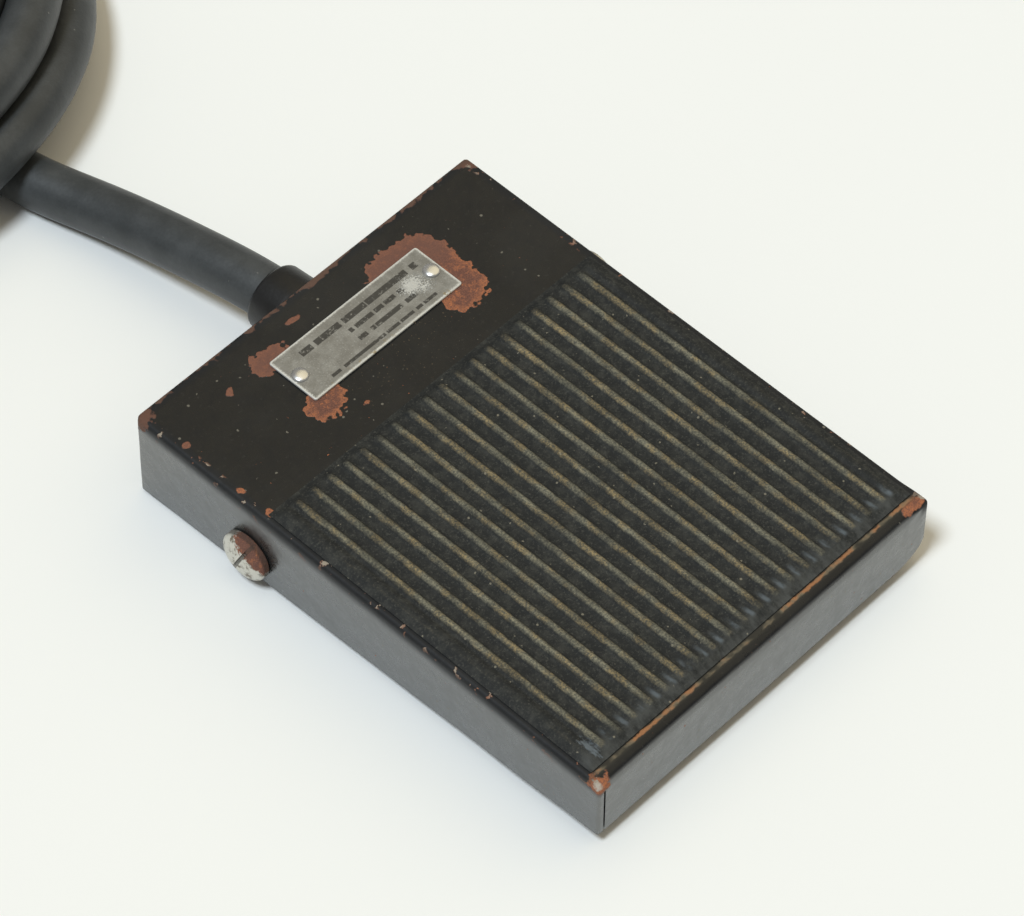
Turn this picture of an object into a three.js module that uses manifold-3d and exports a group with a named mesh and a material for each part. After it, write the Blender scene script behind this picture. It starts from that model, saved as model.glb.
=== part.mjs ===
// Treadle foot switch with mains cord: a folded steel treadle hinged over a steel base pan.
// Millimetres, +Z up, +X to the right, +Y to the rear, where the cord leaves. The floor is z = 0.
import * as THREE from 'three';
import { mergeVertices } from 'three/addons/utils/BufferGeometryUtils.js';
import Module from 'manifold-3d';

const wasm = await Module();
wasm.setup();

// ---------------------------------------------------------------- driving dimensions
const GAP = 0.3; // air left between touching pieces
const SHEET = 1.2; // steel sheet of the treadle and the base

const COVER_WIDTH = 82.5;
const COVER_REAR = 28.2; // rear edge, measured from the pivot along the tread
const COVER_FRONT = -82.4; // front edge
const COVER_TOP = 12.8; // tread surface above the pivot
const REAR_WALL_LOW = -7.4; // lower edge of the side walls at the rear
const FRONT_WALL_LOW = -1.2; // and at the front
const REST_TILT = THREE.MathUtils.degToRad(1.87); // tread slope at rest, front lower
const CORNER_SLIT = 0.4;

const PIVOT_Y = 27.2;
const PIVOT_Z = 7.3;
const BOLT_R = 2.4;
const SPACER_R = 3.4;
const BOLT_HEAD_R = 5.0;
const BOLT_HEAD_H = 2.9;
const NUT_FLATS = 9.6;
const NUT_LENGTH = 3.9;
const WASHER_T = 0.8;

const BASE_HALF_WIDTH = 38.4;
const BASE_FRONT = -51.5;
const BASE_REAR = 52.9;
const BASE_LOW = 2.4;
const BASE_TOP = BASE_LOW + SHEET;
const FLANGE_TOP = 7.2;
const REAR_WALL_TOP = 19.4;
const EAR_R = 6.5;

const MAT_HALF_WIDTH = 40.0;
const MAT_REAR = -3.6;
const MAT_FRONT = -79.3;
const MAT_SHEET = 0.5;
const RIB_COUNT = 19;
const RIB_PITCH = 3.9;
const RIB_WIDTH = 1.2;
const RIB_HEIGHT = 0.5;

const PLATE_X = 1.2;
const PLATE_LENGTH = 36.6;
const PLATE_WIDTH = 11.7;
const PLATE_Y = COVER_REAR - 14.45;
const PLATE_T = 0.4;
const PIN_SPACING = 32.7;

const FOOT_X = 29;
const FOOT_FRONT_Y = -42;
const FOOT_REAR_Y = 41;
const FOOT_HOLE_R = 3.2;
const BUMPER_X = 16;
const BUMPER_Y = -46;
const BUMPER_TOP = 13.5;
const BUMPER_HOLE_R = 2.2;

const SPRING_Y = -36;
const SPRING_R = 6.0;
const SPRING_WIRE_R = 0.6;
const SPRING_TURNS = 5;
const SPRING_LOW = BASE_TOP + GAP + SPRING_WIRE_R;
const SPRING_HIGH = 15.8;

const SWITCH_Y = -3;
const SWITCH_LENGTH = 28;
const SWITCH_DEPTH = 16;
const SWITCH_LOW = BASE_TOP + GAP;
const SWITCH_TOP = 14.2;
const PLUNGER_R = 2.0;
const PLUNGER_LOW = 9.9;
const PLUNGER_TOP = 15.3;
const SWITCH_SCREW_X = 10.5;
const TERMINAL_PITCH = 8.5;
const TERMINAL_Z = 8.4;

const CORD_R = 5.1; // 10.2 mm rubber cord
const CORD_Z = 11.0; // where it passes the rear wall
const JACKET_END_Y = 35.5; // where the jacket is stripped, inside
const BUSHING_END_Y = 64.0;
const BUSHING_R = 6.9;
const CLAMP_Y = 40.3;
const CLAMP_DEPTH = 5.6;
const CLAMP_SCREW_X = 11;
const GROUND_X = 24;
const GROUND_Y = 10;
const WIRE_R = 1.3;

const COIL_X = -22.2;
const COIL_Y = 182.4;
const COIL_INNER_R = 36;
const COIL_OUTER_R = 67;
const COIL_HEIGHT = 34;
const COIL_ROUND = 5;
const TIE_ANGLE = THREE.MathUtils.degToRad(205);
const TIE_WIDTH = 6;
const TIE_T = 1.2;

const PLUG_X = -32; // where the cord enters the plug
const PLUG_Y = 263.3;
const PLUG_LENGTH = 45.4;
const PLUG_R = 12.4;
const PLUG_Z = PLUG_R + 0.2;

const HEAD_REACH = COVER_WIDTH / 2 + GAP + BOLT_HEAD_H;
const NUT_REACH = COVER_WIDTH / 2 + GAP * 2 + WASHER_T + NUT_LENGTH + 0.7;
const CENTRE_X = (HEAD_REACH - NUT_REACH) / 2; // middle of the overall width goes to x = 0

// ---------------------------------------------------------------- finishes
function finish(color, roughness, metalness) {
  return new THREE.MeshStandardMaterial({ color, roughness, metalness });
}

const blackEnamel = finish(0x1b1b1a, 0.35, 0.2);
const bareSteel = finish(0x9a9a96, 0.4, 0.9);
const zinc = finish(0xb9b6aa, 0.45, 0.8);
const springSteel = finish(0x77797b, 0.35, 0.9);
const brass = finish(0xb08d4a, 0.35, 0.9);
const aluminium = finish(0xa3a19b, 0.4, 0.9);
const blackRubber = finish(0x222221, 0.8, 0);
const cordRubber = finish(0x2a2b2c, 0.6, 0);
const phenolic = finish(0x17130f, 0.4, 0);
const nylon = finish(0xd9d3bf, 0.5, 0);
const wireBlack = finish(0x151515, 0.5, 0);
const wireWhite = finish(0xdedad0, 0.5, 0);
const wireGreen = finish(0x1f6b3a, 0.5, 0);

// ---------------------------------------------------------------- building blocks
// Axes for shapes drawn in a plane: the shape's x, y and depth go along these.
const ALONG_X = new THREE.Matrix4().makeBasis(
  new THREE.Vector3(0, 1, 0), new THREE.Vector3(0, 0, 1), new THREE.Vector3(1, 0, 0));
const ALONG_Y = new THREE.Matrix4().makeBasis(
  new THREE.Vector3(1, 0, 0), new THREE.Vector3(0, 0, 1), new THREE.Vector3(0, -1, 0));
const LATHE_TO_X = new THREE.Matrix4().makeRotationZ(-Math.PI / 2);
const LATHE_TO_MINUS_X = new THREE.Matrix4().makeRotationZ(Math.PI / 2);
const LATHE_TO_Z = new THREE.Matrix4().makeRotationX(Math.PI / 2);

function solid(geometry) {
  const bare = geometry.clone();
  bare.deleteAttribute('normal');
  bare.deleteAttribute('uv');
  const merged = mergeVertices(bare, 1e-4);
  const mesh = new wasm.Mesh({
    numProp: 3,
    vertProperties: new Float32Array(merged.attributes.position.array),
    triVerts: new Uint32Array(merged.index.array),
  });
  return new wasm.Manifold(mesh);
}

function surface(manifold) {
  const mesh = manifold.getMesh();
  const geometry = new THREE.BufferGeometry();
  geometry.setAttribute('position', new THREE.BufferAttribute(new Float32Array(mesh.vertProperties), 3));
  geometry.setIndex(new THREE.BufferAttribute(new Uint32Array(mesh.triVerts), 1));
  geometry.computeVertexNormals();
  return geometry;
}

function join(first, ...rest) {
  return surface(rest.reduce((all, next) => all.add(solid(next)), solid(first)));
}

function cut(first, ...rest) {
  return surface(rest.reduce((left, next) => left.subtract(solid(next)), solid(first)));
}

// A box between two corners.
function block(x0, x1, y0, y1, z0, z1) {
  const box = new THREE.BoxGeometry(x1 - x0, y1 - y0, z1 - z0);
  return box.translate((x0 + x1) / 2, (y0 + y1) / 2, (z0 + z1) / 2);
}

// Round bars along X and Z.
function barX(radius, x0, x1, y, z, sides = 20) {
  const bar = new THREE.CylinderGeometry(radius, radius, x1 - x0, sides);
  return bar.applyMatrix4(LATHE_TO_X).translate((x0 + x1) / 2, y, z);
}

function barZ(radius, z0, z1, x, y, sides = 20) {
  const bar = new THREE.CylinderGeometry(radius, radius, z1 - z0, sides);
  return bar.applyMatrix4(LATHE_TO_Z).translate(x, y, (z0 + z1) / 2);
}

// A turned piece: each profile point is [radius, distance along the axis].
function turned(profile, sides = 20) {
  return new THREE.LatheGeometry(profile.map(([r, along]) => new THREE.Vector2(r, along)), sides);
}

// An outline drawn in a plane and given a depth.
function outline(points, depth, basis, offset = 0) {
  const shape = new THREE.Shape(points.map(([a, b]) => new THREE.Vector2(a, b)));
  const prism = new THREE.ExtrudeGeometry(shape, { depth, bevelEnabled: false, curveSegments: 8 });
  return prism.translate(0, 0, offset).applyMatrix4(basis);
}

// A round tube along a smooth route.
function tube(route, radius, steps, sides) {
  const curve = new THREE.CatmullRomCurve3(route.map(([x, y, z]) => new THREE.Vector3(x, y, z)));
  const ring = [];
  for (let i = 0; i < sides; i += 1) {
    const angle = (2 * Math.PI * (i + 0.5)) / sides;
    ring.push(new THREE.Vector2(radius * Math.cos(angle), radius * Math.sin(angle)));
  }
  return new THREE.ExtrudeGeometry(new THREE.Shape(ring), { extrudePath: curve, steps, bevelEnabled: false });
}

const model = new THREE.Group();
model.position.x = CENTRE_X;
const treadle = new THREE.Group();
treadle.position.set(0, PIVOT_Y, PIVOT_Z);
treadle.rotation.x = REST_TILT;
model.add(treadle);

function place(group, name, geometry, material) {
  const mesh = new THREE.Mesh(geometry, material);
  mesh.name = name;
  group.add(mesh);
}

// ---------------------------------------------------------------- treadle
// The cover: one sheet folded down on all four sides, open at its corner seams and underneath.
function treadleCover() {
  const half = COVER_WIDTH / 2;
  const sides = [[COVER_FRONT, COVER_TOP], [COVER_FRONT, FRONT_WALL_LOW], [COVER_REAR, REAR_WALL_LOW],
    [COVER_REAR, COVER_TOP]];
  const inner = [[COVER_FRONT + SHEET, COVER_TOP - SHEET], [COVER_FRONT + SHEET, REAR_WALL_LOW - SHEET],
    [COVER_REAR - SHEET, REAR_WALL_LOW - SHEET], [COVER_REAR - SHEET, COVER_TOP - SHEET]];
  const shell = outline(sides, COVER_WIDTH, ALONG_X, -half);
  const hollow = outline(inner, COVER_WIDTH - 2 * SHEET, ALONG_X, SHEET - half);
  const tools = [hollow, barX(BOLT_R + GAP, -half - 1, half + 1, 0, 0)];
  for (const side of [-1, 1]) {
    const seam = side * (half - SHEET - CORNER_SLIT / 2);
    for (const end of [COVER_FRONT, COVER_REAR]) {
      tools.push(block(seam - CORNER_SLIT / 2, seam + CORNER_SLIT / 2, end - 1.5, end + 1.5,
        REAR_WALL_LOW - 1, COVER_TOP - 2));
    }
    tools.push(barZ(1.3, COVER_TOP - 2, COVER_TOP + 1, PLATE_X + (side * PIN_SPACING) / 2, PLATE_Y, 12));
  }
  const cordZ = CORD_Z - PIVOT_Z - COVER_REAR * Math.sin(REST_TILT);
  const notchR = BUSHING_R + 0.6;
  const arch = new THREE.CylinderGeometry(notchR, notchR, 4, 24).translate(0, COVER_REAR, cordZ);
  tools.push(arch, block(-notchR, notchR, COVER_REAR - 2, COVER_REAR + 2, REAR_WALL_LOW - 1, cordZ));
  return cut(shell, ...tools);
}

// The ribbed rubber mat: a thin sheet with raised ribs from back to front.
function treadMat() {
  const low = COVER_TOP + GAP;
  const mid = low + MAT_SHEET;
  const points = [[-MAT_HALF_WIDTH, low], [MAT_HALF_WIDTH, low], [MAT_HALF_WIDTH, mid]];
  for (let i = RIB_COUNT - 1; i >= 0; i -= 1) {
    const x = (i - (RIB_COUNT - 1) / 2) * RIB_PITCH;
    points.push([x + RIB_WIDTH / 2, mid], [x + RIB_WIDTH / 4, mid + RIB_HEIGHT]);
    points.push([x - RIB_WIDTH / 4, mid + RIB_HEIGHT], [x - RIB_WIDTH / 2, mid]);
  }
  points.push([-MAT_HALF_WIDTH, mid]);
  return outline(points, MAT_REAR - MAT_FRONT, ALONG_Y, -MAT_REAR);
}

function namePlate() {
  const low = COVER_TOP + GAP;
  const sheet = block(PLATE_X - PLATE_LENGTH / 2, PLATE_X + PLATE_LENGTH / 2, PLATE_Y - PLATE_WIDTH / 2,
    PLATE_Y + PLATE_WIDTH / 2, low, low + PLATE_T);
  const hole = (x) => barZ(1.3, low - 1, low + 2, x, PLATE_Y, 12);
  return cut(sheet, hole(PLATE_X - PIN_SPACING / 2), hole(PLATE_X + PIN_SPACING / 2));
}

// A drive pin: domed head, plain shank through the plate and the cover.
function platePin(side) {
  const low = COVER_TOP + 2 * GAP + PLATE_T;
  const profile = [[0, low - 3.4], [1, low - 3.4], [1, low], [1.8, low], [1.7, low + 0.4], [1.0, low + 0.8],
    [0, low + 0.95]];
  const pin = turned(profile, 14).applyMatrix4(LATHE_TO_Z);
  return pin.translate(PLATE_X + (side * PIN_SPACING) / 2, PLATE_Y, 0);
}

// Under the tread: a steel leaf whose nylon button bears on the switch plunger.
const LEAF_TOP = COVER_TOP - SHEET - GAP;
const LEAF_T = 0.8;
const BUTTON_Y = SWITCH_Y - PIVOT_Y;

function actuatorLeaf() {
  return block(-5, 5, BUTTON_Y - 12, BUTTON_Y + 12, LEAF_TOP - LEAF_T, LEAF_TOP);
}

function actuatorButton() {
  const top = LEAF_TOP - LEAF_T - GAP;
  const low = (PLUNGER_TOP + GAP - PIVOT_Z) * Math.cos(REST_TILT) - BUTTON_Y * Math.sin(REST_TILT);
  const profile = [[0, low], [1.6, low + 0.05], [3, low + 0.4], [3, top], [0, top]];
  return turned(profile, 16).applyMatrix4(LATHE_TO_Z).translate(0, BUTTON_Y, 0);
}

// ---------------------------------------------------------------- base and pivot
const EAR_OUTLINE = new THREE.Shape();
EAR_OUTLINE.moveTo(PIVOT_Y + EAR_R, BASE_LOW);
EAR_OUTLINE.lineTo(PIVOT_Y + EAR_R, PIVOT_Z);
EAR_OUTLINE.absarc(PIVOT_Y, PIVOT_Z, EAR_R, 0, Math.PI, false);
EAR_OUTLINE.lineTo(PIVOT_Y - EAR_R, BASE_LOW);

function basePan() {
  const half = BASE_HALF_WIDTH;
  const parts = [block(-half, half, BASE_FRONT, BASE_FRONT + SHEET, BASE_LOW, FLANGE_TOP)];
  parts.push(block(-half, half, BASE_REAR - SHEET, BASE_REAR, BASE_LOW, REAR_WALL_TOP));
  for (const x of [-half, half - SHEET]) {
    parts.push(block(x, x + SHEET, BASE_FRONT, BASE_REAR, BASE_LOW, FLANGE_TOP));
    const options = { depth: SHEET, bevelEnabled: false, curveSegments: 12 };
    const ear = new THREE.ExtrudeGeometry(EAR_OUTLINE, options);
    parts.push(ear.applyMatrix4(ALONG_X).translate(x, 0, 0));
  }
  const pan = join(block(-half, half, BASE_FRONT, BASE_REAR, BASE_LOW, BASE_TOP), ...parts);
  const hole = (radius, x, y) => barZ(radius, BASE_LOW - 1, BASE_TOP + 1, x, y, 16);
  const holes = [barX(BOLT_R + GAP, -half - 1, half + 1, PIVOT_Y, PIVOT_Z)];
  for (const side of [-1, 1]) {
    holes.push(hole(FOOT_HOLE_R, side * FOOT_X, FOOT_FRONT_Y), hole(FOOT_HOLE_R, side * FOOT_X, FOOT_REAR_Y));
    holes.push(hole(BUMPER_HOLE_R, side * BUMPER_X, BUMPER_Y), hole(1.8, side * SWITCH_SCREW_X, SWITCH_Y));
    holes.push(hole(2.0, side * CLAMP_SCREW_X, CLAMP_Y));
  }
  holes.push(hole(2.1, 0, SPRING_Y), hole(2.1, GROUND_X, GROUND_Y));
  holes.push(new THREE.CylinderGeometry(6.5, 6.5, 6, 24).translate(0, BASE_REAR, CORD_Z));
  return cut(pan, ...holes);
}

// Push-in rubber foot: the wide part is outside, the bulge holds it above the base sheet.
function foot(x, y) {
  const profile = [[0, 0], [5.0, 0], [5.5, 0.5], [6.1, BASE_LOW - GAP], [FOOT_HOLE_R - GAP, BASE_LOW - GAP],
    [FOOT_HOLE_R - GAP, BASE_TOP + GAP], [4.3, BASE_TOP + GAP], [2.2, 7.0], [0, 7.0]];
  return turned(profile, 18).applyMatrix4(LATHE_TO_Z).translate(x, y, 0);
}

// Push-in rubber bumper that stops the treadle at the end of its stroke.
function stopBumper(side) {
  const neck = BUMPER_HOLE_R - GAP;
  const profile = [[0, 0.7], [2.0, 0.7], [2.9, BASE_LOW - GAP], [neck, BASE_LOW - GAP],
    [neck, BASE_TOP + GAP], [4.0, BASE_TOP + GAP], [3.6, BUMPER_TOP - 0.8], [2.8, BUMPER_TOP],
    [0, BUMPER_TOP]];
  return turned(profile, 14).applyMatrix4(LATHE_TO_Z).translate(side * BUMPER_X, BUMPER_Y, 0);
}

// The hinge bolt: slotted domed head on the left, plain shank right through both walls.
function pivotBolt() {
  const face = -COVER_WIDTH / 2 - GAP;
  const crown = face - BOLT_HEAD_H;
  const length = HEAD_REACH + NUT_REACH;
  const profile = [[0, 0], [2.6, 0.15], [4.2, 0.75], [BOLT_HEAD_R, 1.6], [BOLT_HEAD_R, BOLT_HEAD_H],
    [BOLT_R, BOLT_HEAD_H], [BOLT_R, length], [0, length]];
  const bolt = turned(profile, 20).applyMatrix4(LATHE_TO_X).translate(crown, PIVOT_Y, PIVOT_Z);
  const slot = block(crown - 1, crown + 1.3, PIVOT_Y - 6, PIVOT_Y + 6, PIVOT_Z - 0.6, PIVOT_Z + 0.6);
  return cut(bolt, slot);
}

function pivotSpacer() {
  const reach = BASE_HALF_WIDTH - SHEET - GAP;
  return cut(barX(SPACER_R, -reach, reach, PIVOT_Y, PIVOT_Z),
    barX(BOLT_R + GAP, -reach - 1, reach + 1, PIVOT_Y, PIVOT_Z));
}

function pivotWasher() {
  const x = COVER_WIDTH / 2 + GAP;
  return cut(barX(5.2, x, x + WASHER_T, PIVOT_Y, PIVOT_Z),
    barX(BOLT_R + GAP, x - 1, x + WASHER_T + 1, PIVOT_Y, PIVOT_Z));
}

// Self-locking nut: hexagon with a round collar.
function pivotNut() {
  const x = COVER_WIDTH / 2 + 2 * GAP + WASHER_T;
  const hex = barX(NUT_FLATS / Math.sqrt(3), x, x + NUT_LENGTH - 0.9, PIVOT_Y, PIVOT_Z, 6);
  const collar = barX(NUT_FLATS / 2 - 0.3, x, x + NUT_LENGTH, PIVOT_Y, PIVOT_Z);
  const nut = solid(hex).add(solid(collar));
  return surface(nut.subtract(solid(barX(BOLT_R + GAP, x - 1, x + NUT_LENGTH + 1, PIVOT_Y, PIVOT_Z))));
}

class SpringLine extends THREE.Curve {
  getPoint(t, target = new THREE.Vector3()) {
    const angle = 2 * Math.PI * SPRING_TURNS * t;
    const z = SPRING_LOW + (SPRING_HIGH - SPRING_LOW) * t;
    return target.set(SPRING_R * Math.cos(angle), SPRING_Y + SPRING_R * Math.sin(angle), z);
  }
}

function returnSpring() {
  const wire = new THREE.Shape();
  wire.absarc(0, 0, SPRING_WIRE_R, 0, 2 * Math.PI, false);
  return new THREE.ExtrudeGeometry(wire, { extrudePath: new SpringLine(), steps: SPRING_TURNS * 14,
    curveSegments: 3, bevelEnabled: false });
}

// A rivet that stands in the spring and keeps it in place.
function springPost() {
  const profile = [[0, 1.4], [1.8, 1.4], [1.8, BASE_TOP + GAP], [4.2, BASE_TOP + GAP], [4.2, 8.2], [3.4, 9],
    [0, 9]];
  return turned(profile, 16).applyMatrix4(LATHE_TO_Z).translate(0, SPRING_Y, 0);
}

// ---------------------------------------------------------------- switch
function screw(x, y, seat, headR, headH, shankR, tip) {
  const profile = [[0, tip], [shankR, tip], [shankR, seat], [headR, seat], [headR, seat + headH * 0.6],
    [headR * 0.7, seat + headH], [0, seat + headH]];
  const body = turned(profile, 14).applyMatrix4(LATHE_TO_Z).translate(x, y, 0);
  const slot = block(x - headR - 1, x + headR + 1, y - 0.4, y + 0.4, seat + headH * 0.45, seat + headH + 1);
  return cut(body, slot);
}

function switchCase() {
  const x = SWITCH_LENGTH / 2;
  const y = SWITCH_DEPTH / 2;
  const box = block(-x, x, SWITCH_Y - y, SWITCH_Y + y, SWITCH_LOW, SWITCH_TOP);
  const shaft = (radius, z0, place_x) => barZ(radius, z0, SWITCH_TOP + 1, place_x, SWITCH_Y, 16);
  return cut(box, shaft(PLUNGER_R + 0.4, PLUNGER_LOW - 1.6, 0), shaft(1.8, SWITCH_LOW - 1, -SWITCH_SCREW_X),
    shaft(1.8, SWITCH_LOW - 1, SWITCH_SCREW_X));
}

function switchPlunger() {
  const profile = [[0, PLUNGER_LOW], [PLUNGER_R, PLUNGER_LOW], [PLUNGER_R, PLUNGER_TOP - 0.6],
    [PLUNGER_R * 0.6, PLUNGER_TOP], [0, PLUNGER_TOP]];
  return turned(profile, 14).applyMatrix4(LATHE_TO_Z).translate(0, SWITCH_Y, 0);
}

const CASE_REAR = SWITCH_Y + SWITCH_DEPTH / 2;

function terminal(x) {
  return block(x - 3.1, x + 3.1, CASE_REAR + GAP, CASE_REAR + 6, TERMINAL_Z - 0.4, TERMINAL_Z + 0.4);
}

// A crimped connector behind a terminal, with its wire end.
function crimp(x) {
  const sleeve = new THREE.CylinderGeometry(2.1, 2.1, 6, 14);
  return sleeve.translate(x, CASE_REAR + 6 + GAP + 3, TERMINAL_Z);
}

const WIRE_START_Y = CASE_REAR + 13 + GAP;
const WIRE_END_Y = JACKET_END_Y - 1;

function switchWire(side) {
  const x = side * TERMINAL_PITCH;
  const route = [[x, WIRE_START_Y, TERMINAL_Z], [x * 0.98, WIRE_START_Y + 1.6, 9.6], [x * 0.9, 21, 12.6],
    [x * 0.6, 25.5, 14.3], [side * 2.9, 30.5, 13.1], [side * 2.2, WIRE_END_Y, 10.2]];
  return tube(route, WIRE_R, 14, 8);
}

function groundWire() {
  const route = [[0, WIRE_END_Y, 13.4], [0.9, 33, 14.9], [3.6, 31.4, 16.4], [9, 28.5, 16.6], [16, 24.5, 15],
    [21.5, 22.4, 11], [GROUND_X, 21.2, 7.4], [GROUND_X, GROUND_Y + 9.4, 6.6]];
  return tube(route, WIRE_R, 18, 8);
}

function groundLug() {
  const low = BASE_TOP + GAP;
  const disc = barZ(4, low, low + 0.8, GROUND_X, GROUND_Y, 18);
  const tongue = block(GROUND_X - 1.6, GROUND_X + 1.6, GROUND_Y + 3, GROUND_Y + 9, low, low + 0.8);
  const barrel = block(GROUND_X - 1.6, GROUND_X + 1.6, GROUND_Y + 4.6, GROUND_Y + 9, low, low + 3);
  const lug = solid(join(disc, tongue, barrel));
  return surface(lug.subtract(solid(barZ(2.1, low - 1, low + 2, GROUND_X, GROUND_Y, 16))));
}

// ---------------------------------------------------------------- cord entry
// Rubber bushing in the rear wall: inner flange, neck, and a slightly tapered nose outside.
function cordBushing() {
  const neckFront = BASE_REAR - SHEET - GAP;
  const neckRear = BASE_REAR + GAP;
  const bore = CORD_R + GAP;
  const profile = [[bore, 44], [6.2, 44], [7.0, 46], [7.0, neckFront], [6.2, neckFront],
    [6.2, neckRear], [BUSHING_R, neckRear], [BUSHING_R, 57], [6.5, 62.5], [5.9, BUSHING_END_Y],
    [bore, BUSHING_END_Y], [bore, 44]];
  return turned(profile, 24).translate(0, 0, CORD_Z);
}

function cordJacket() {
  const length = BUSHING_END_Y - JACKET_END_Y;
  const jacket = new THREE.CylinderGeometry(CORD_R, CORD_R, length, 16);
  return jacket.translate(0, JACKET_END_Y + length / 2, CORD_Z);
}

// Steel saddle that clamps the jacket to the base.
function cordClamp() {
  const shape = new THREE.Shape();
  const inner = CORD_R + GAP;
  const outer = inner + SHEET;
  const low = BASE_TOP + GAP;
  shape.moveTo(15, low);
  shape.lineTo(15, low + SHEET);
  shape.lineTo(outer, low + SHEET);
  shape.lineTo(outer, CORD_Z);
  shape.absarc(0, CORD_Z, outer, 0, Math.PI, false);
  shape.lineTo(-outer, low + SHEET);
  shape.lineTo(-15, low + SHEET);
  shape.lineTo(-15, low);
  shape.lineTo(-inner, low);
  shape.lineTo(-inner, CORD_Z);
  shape.absarc(0, CORD_Z, inner, Math.PI, 0, true);
  shape.lineTo(inner, low);
  const options = { depth: CLAMP_DEPTH, bevelEnabled: false, curveSegments: 12 };
  const strap = new THREE.ExtrudeGeometry(shape, options);
  strap.applyMatrix4(ALONG_Y).translate(0, CLAMP_Y + CLAMP_DEPTH / 2, 0);
  const hole = (x) => barZ(2.0, low - 1, low + 2, x, CLAMP_Y, 16);
  return cut(strap, hole(-CLAMP_SCREW_X), hole(CLAMP_SCREW_X));
}

// ---------------------------------------------------------------- cord, coil, tie and plug
// The lead: straight out of the bushing, down to the floor, then back to the coil.
const LEAD_ROUTE = [[0, BUSHING_END_Y + GAP, CORD_Z], [-0.15, 68, 10.95], [-1.0, 74, 10.6], [-1.8, 80.5, 9.9],
  [-2.3, 87, 8.8], [-3.0, 94, 7.6], [-3.9, 101, 6.5], [-5.2, 107.8, 5.6], [-7.4, 116.5, CORD_R]];
// The tail: from the coil's far side round to the plug behind it.
const TAIL_ROUTE = [[2.4, 250.2, 12.6], [-3.3, 255.1, 11.7], [-11, 259.6, 11.4], [-19.6, 262.4, 12.0],
  [-27, PLUG_Y, PLUG_Z], [PLUG_X + GAP, PLUG_Y, PLUG_Z]];

function coilRing() {
  const profile = [[COIL_INNER_R, COIL_ROUND], [COIL_INNER_R + COIL_ROUND, 0], [COIL_OUTER_R - COIL_ROUND, 0],
    [COIL_OUTER_R, COIL_ROUND], [COIL_OUTER_R, COIL_HEIGHT - COIL_ROUND],
    [COIL_OUTER_R - COIL_ROUND, COIL_HEIGHT], [COIL_INNER_R + COIL_ROUND, COIL_HEIGHT],
    [COIL_INNER_R, COIL_HEIGHT - COIL_ROUND], [COIL_INNER_R, COIL_ROUND]];
  const ring = turned(profile, 48).applyMatrix4(LATHE_TO_Z);
  const groove = cut(tieBox(-2, GAP), tieBox(TIE_T + GAP, 1));
  return cut(ring.translate(COIL_X, COIL_Y, 0), groove);
}

// The box round the coil's section where the tie sits, shrunk by inset and widened by extra.
function tieBox(inset, extra) {
  const low = 0.1 + inset;
  const high = COIL_HEIGHT - inset;
  const inner = COIL_INNER_R + inset;
  const outer = COIL_OUTER_R - 0.1 - inset;
  const width = TIE_WIDTH / 2 + extra;
  const box = block(inner, outer, -width, width, low, high);
  return box.rotateZ(TIE_ANGLE).translate(COIL_X, COIL_Y, 0);
}

function coilTie() {
  return cut(tieBox(0, 0), tieBox(TIE_T, 1));
}

// Moulded rubber plug lying on its side, prongs to the left.
function plugBody() {
  const profile = [[0, 0], [6.2, 0], [6.9, 14], [8.2, 17], [11.4, 24], [PLUG_R, 32], [PLUG_R, 44],
    [11.6, PLUG_LENGTH], [0, PLUG_LENGTH]];
  return turned(profile, 24).applyMatrix4(LATHE_TO_MINUS_X).translate(PLUG_X, PLUG_Y, PLUG_Z);
}

const PLUG_FACE = PLUG_X - PLUG_LENGTH - GAP;

function plugBlade(side) {
  const y = PLUG_Y + side * 6.35;
  return block(PLUG_FACE - 15.9, PLUG_FACE, y - 0.75, y + 0.75, PLUG_Z - 0.4, PLUG_Z + 5.9);
}

function plugPin() {
  return barX(2.4, PLUG_FACE - 17.5, PLUG_FACE, PLUG_Y, PLUG_Z - 7, 12);
}

// ---------------------------------------------------------------- assembly
place(treadle, 'treadle_cover', treadleCover(), blackEnamel);
place(treadle, 'tread_mat', treadMat(), blackRubber);
place(treadle, 'nameplate', namePlate(), aluminium);
place(treadle, 'nameplate_pin_left', platePin(-1), zinc);
place(treadle, 'nameplate_pin_right', platePin(1), zinc);
place(treadle, 'actuator_leaf', actuatorLeaf(), springSteel);
place(treadle, 'actuator_button', actuatorButton(), nylon);

place(model, 'base_pan', basePan(), blackEnamel);
place(model, 'foot_front_left', foot(-FOOT_X, FOOT_FRONT_Y), blackRubber);
place(model, 'foot_front_right', foot(FOOT_X, FOOT_FRONT_Y), blackRubber);
place(model, 'foot_rear_left', foot(-FOOT_X, FOOT_REAR_Y), blackRubber);
place(model, 'foot_rear_right', foot(FOOT_X, FOOT_REAR_Y), blackRubber);
place(model, 'stop_bumper_left', stopBumper(-1), blackRubber);
place(model, 'stop_bumper_right', stopBumper(1), blackRubber);
place(model, 'pivot_bolt', pivotBolt(), zinc);
place(model, 'pivot_spacer', pivotSpacer(), bareSteel);
place(model, 'pivot_washer', pivotWasher(), zinc);
place(model, 'pivot_locknut', pivotNut(), zinc);
place(model, 'return_spring', returnSpring(), springSteel);
place(model, 'spring_guide_post', springPost(), zinc);

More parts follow.
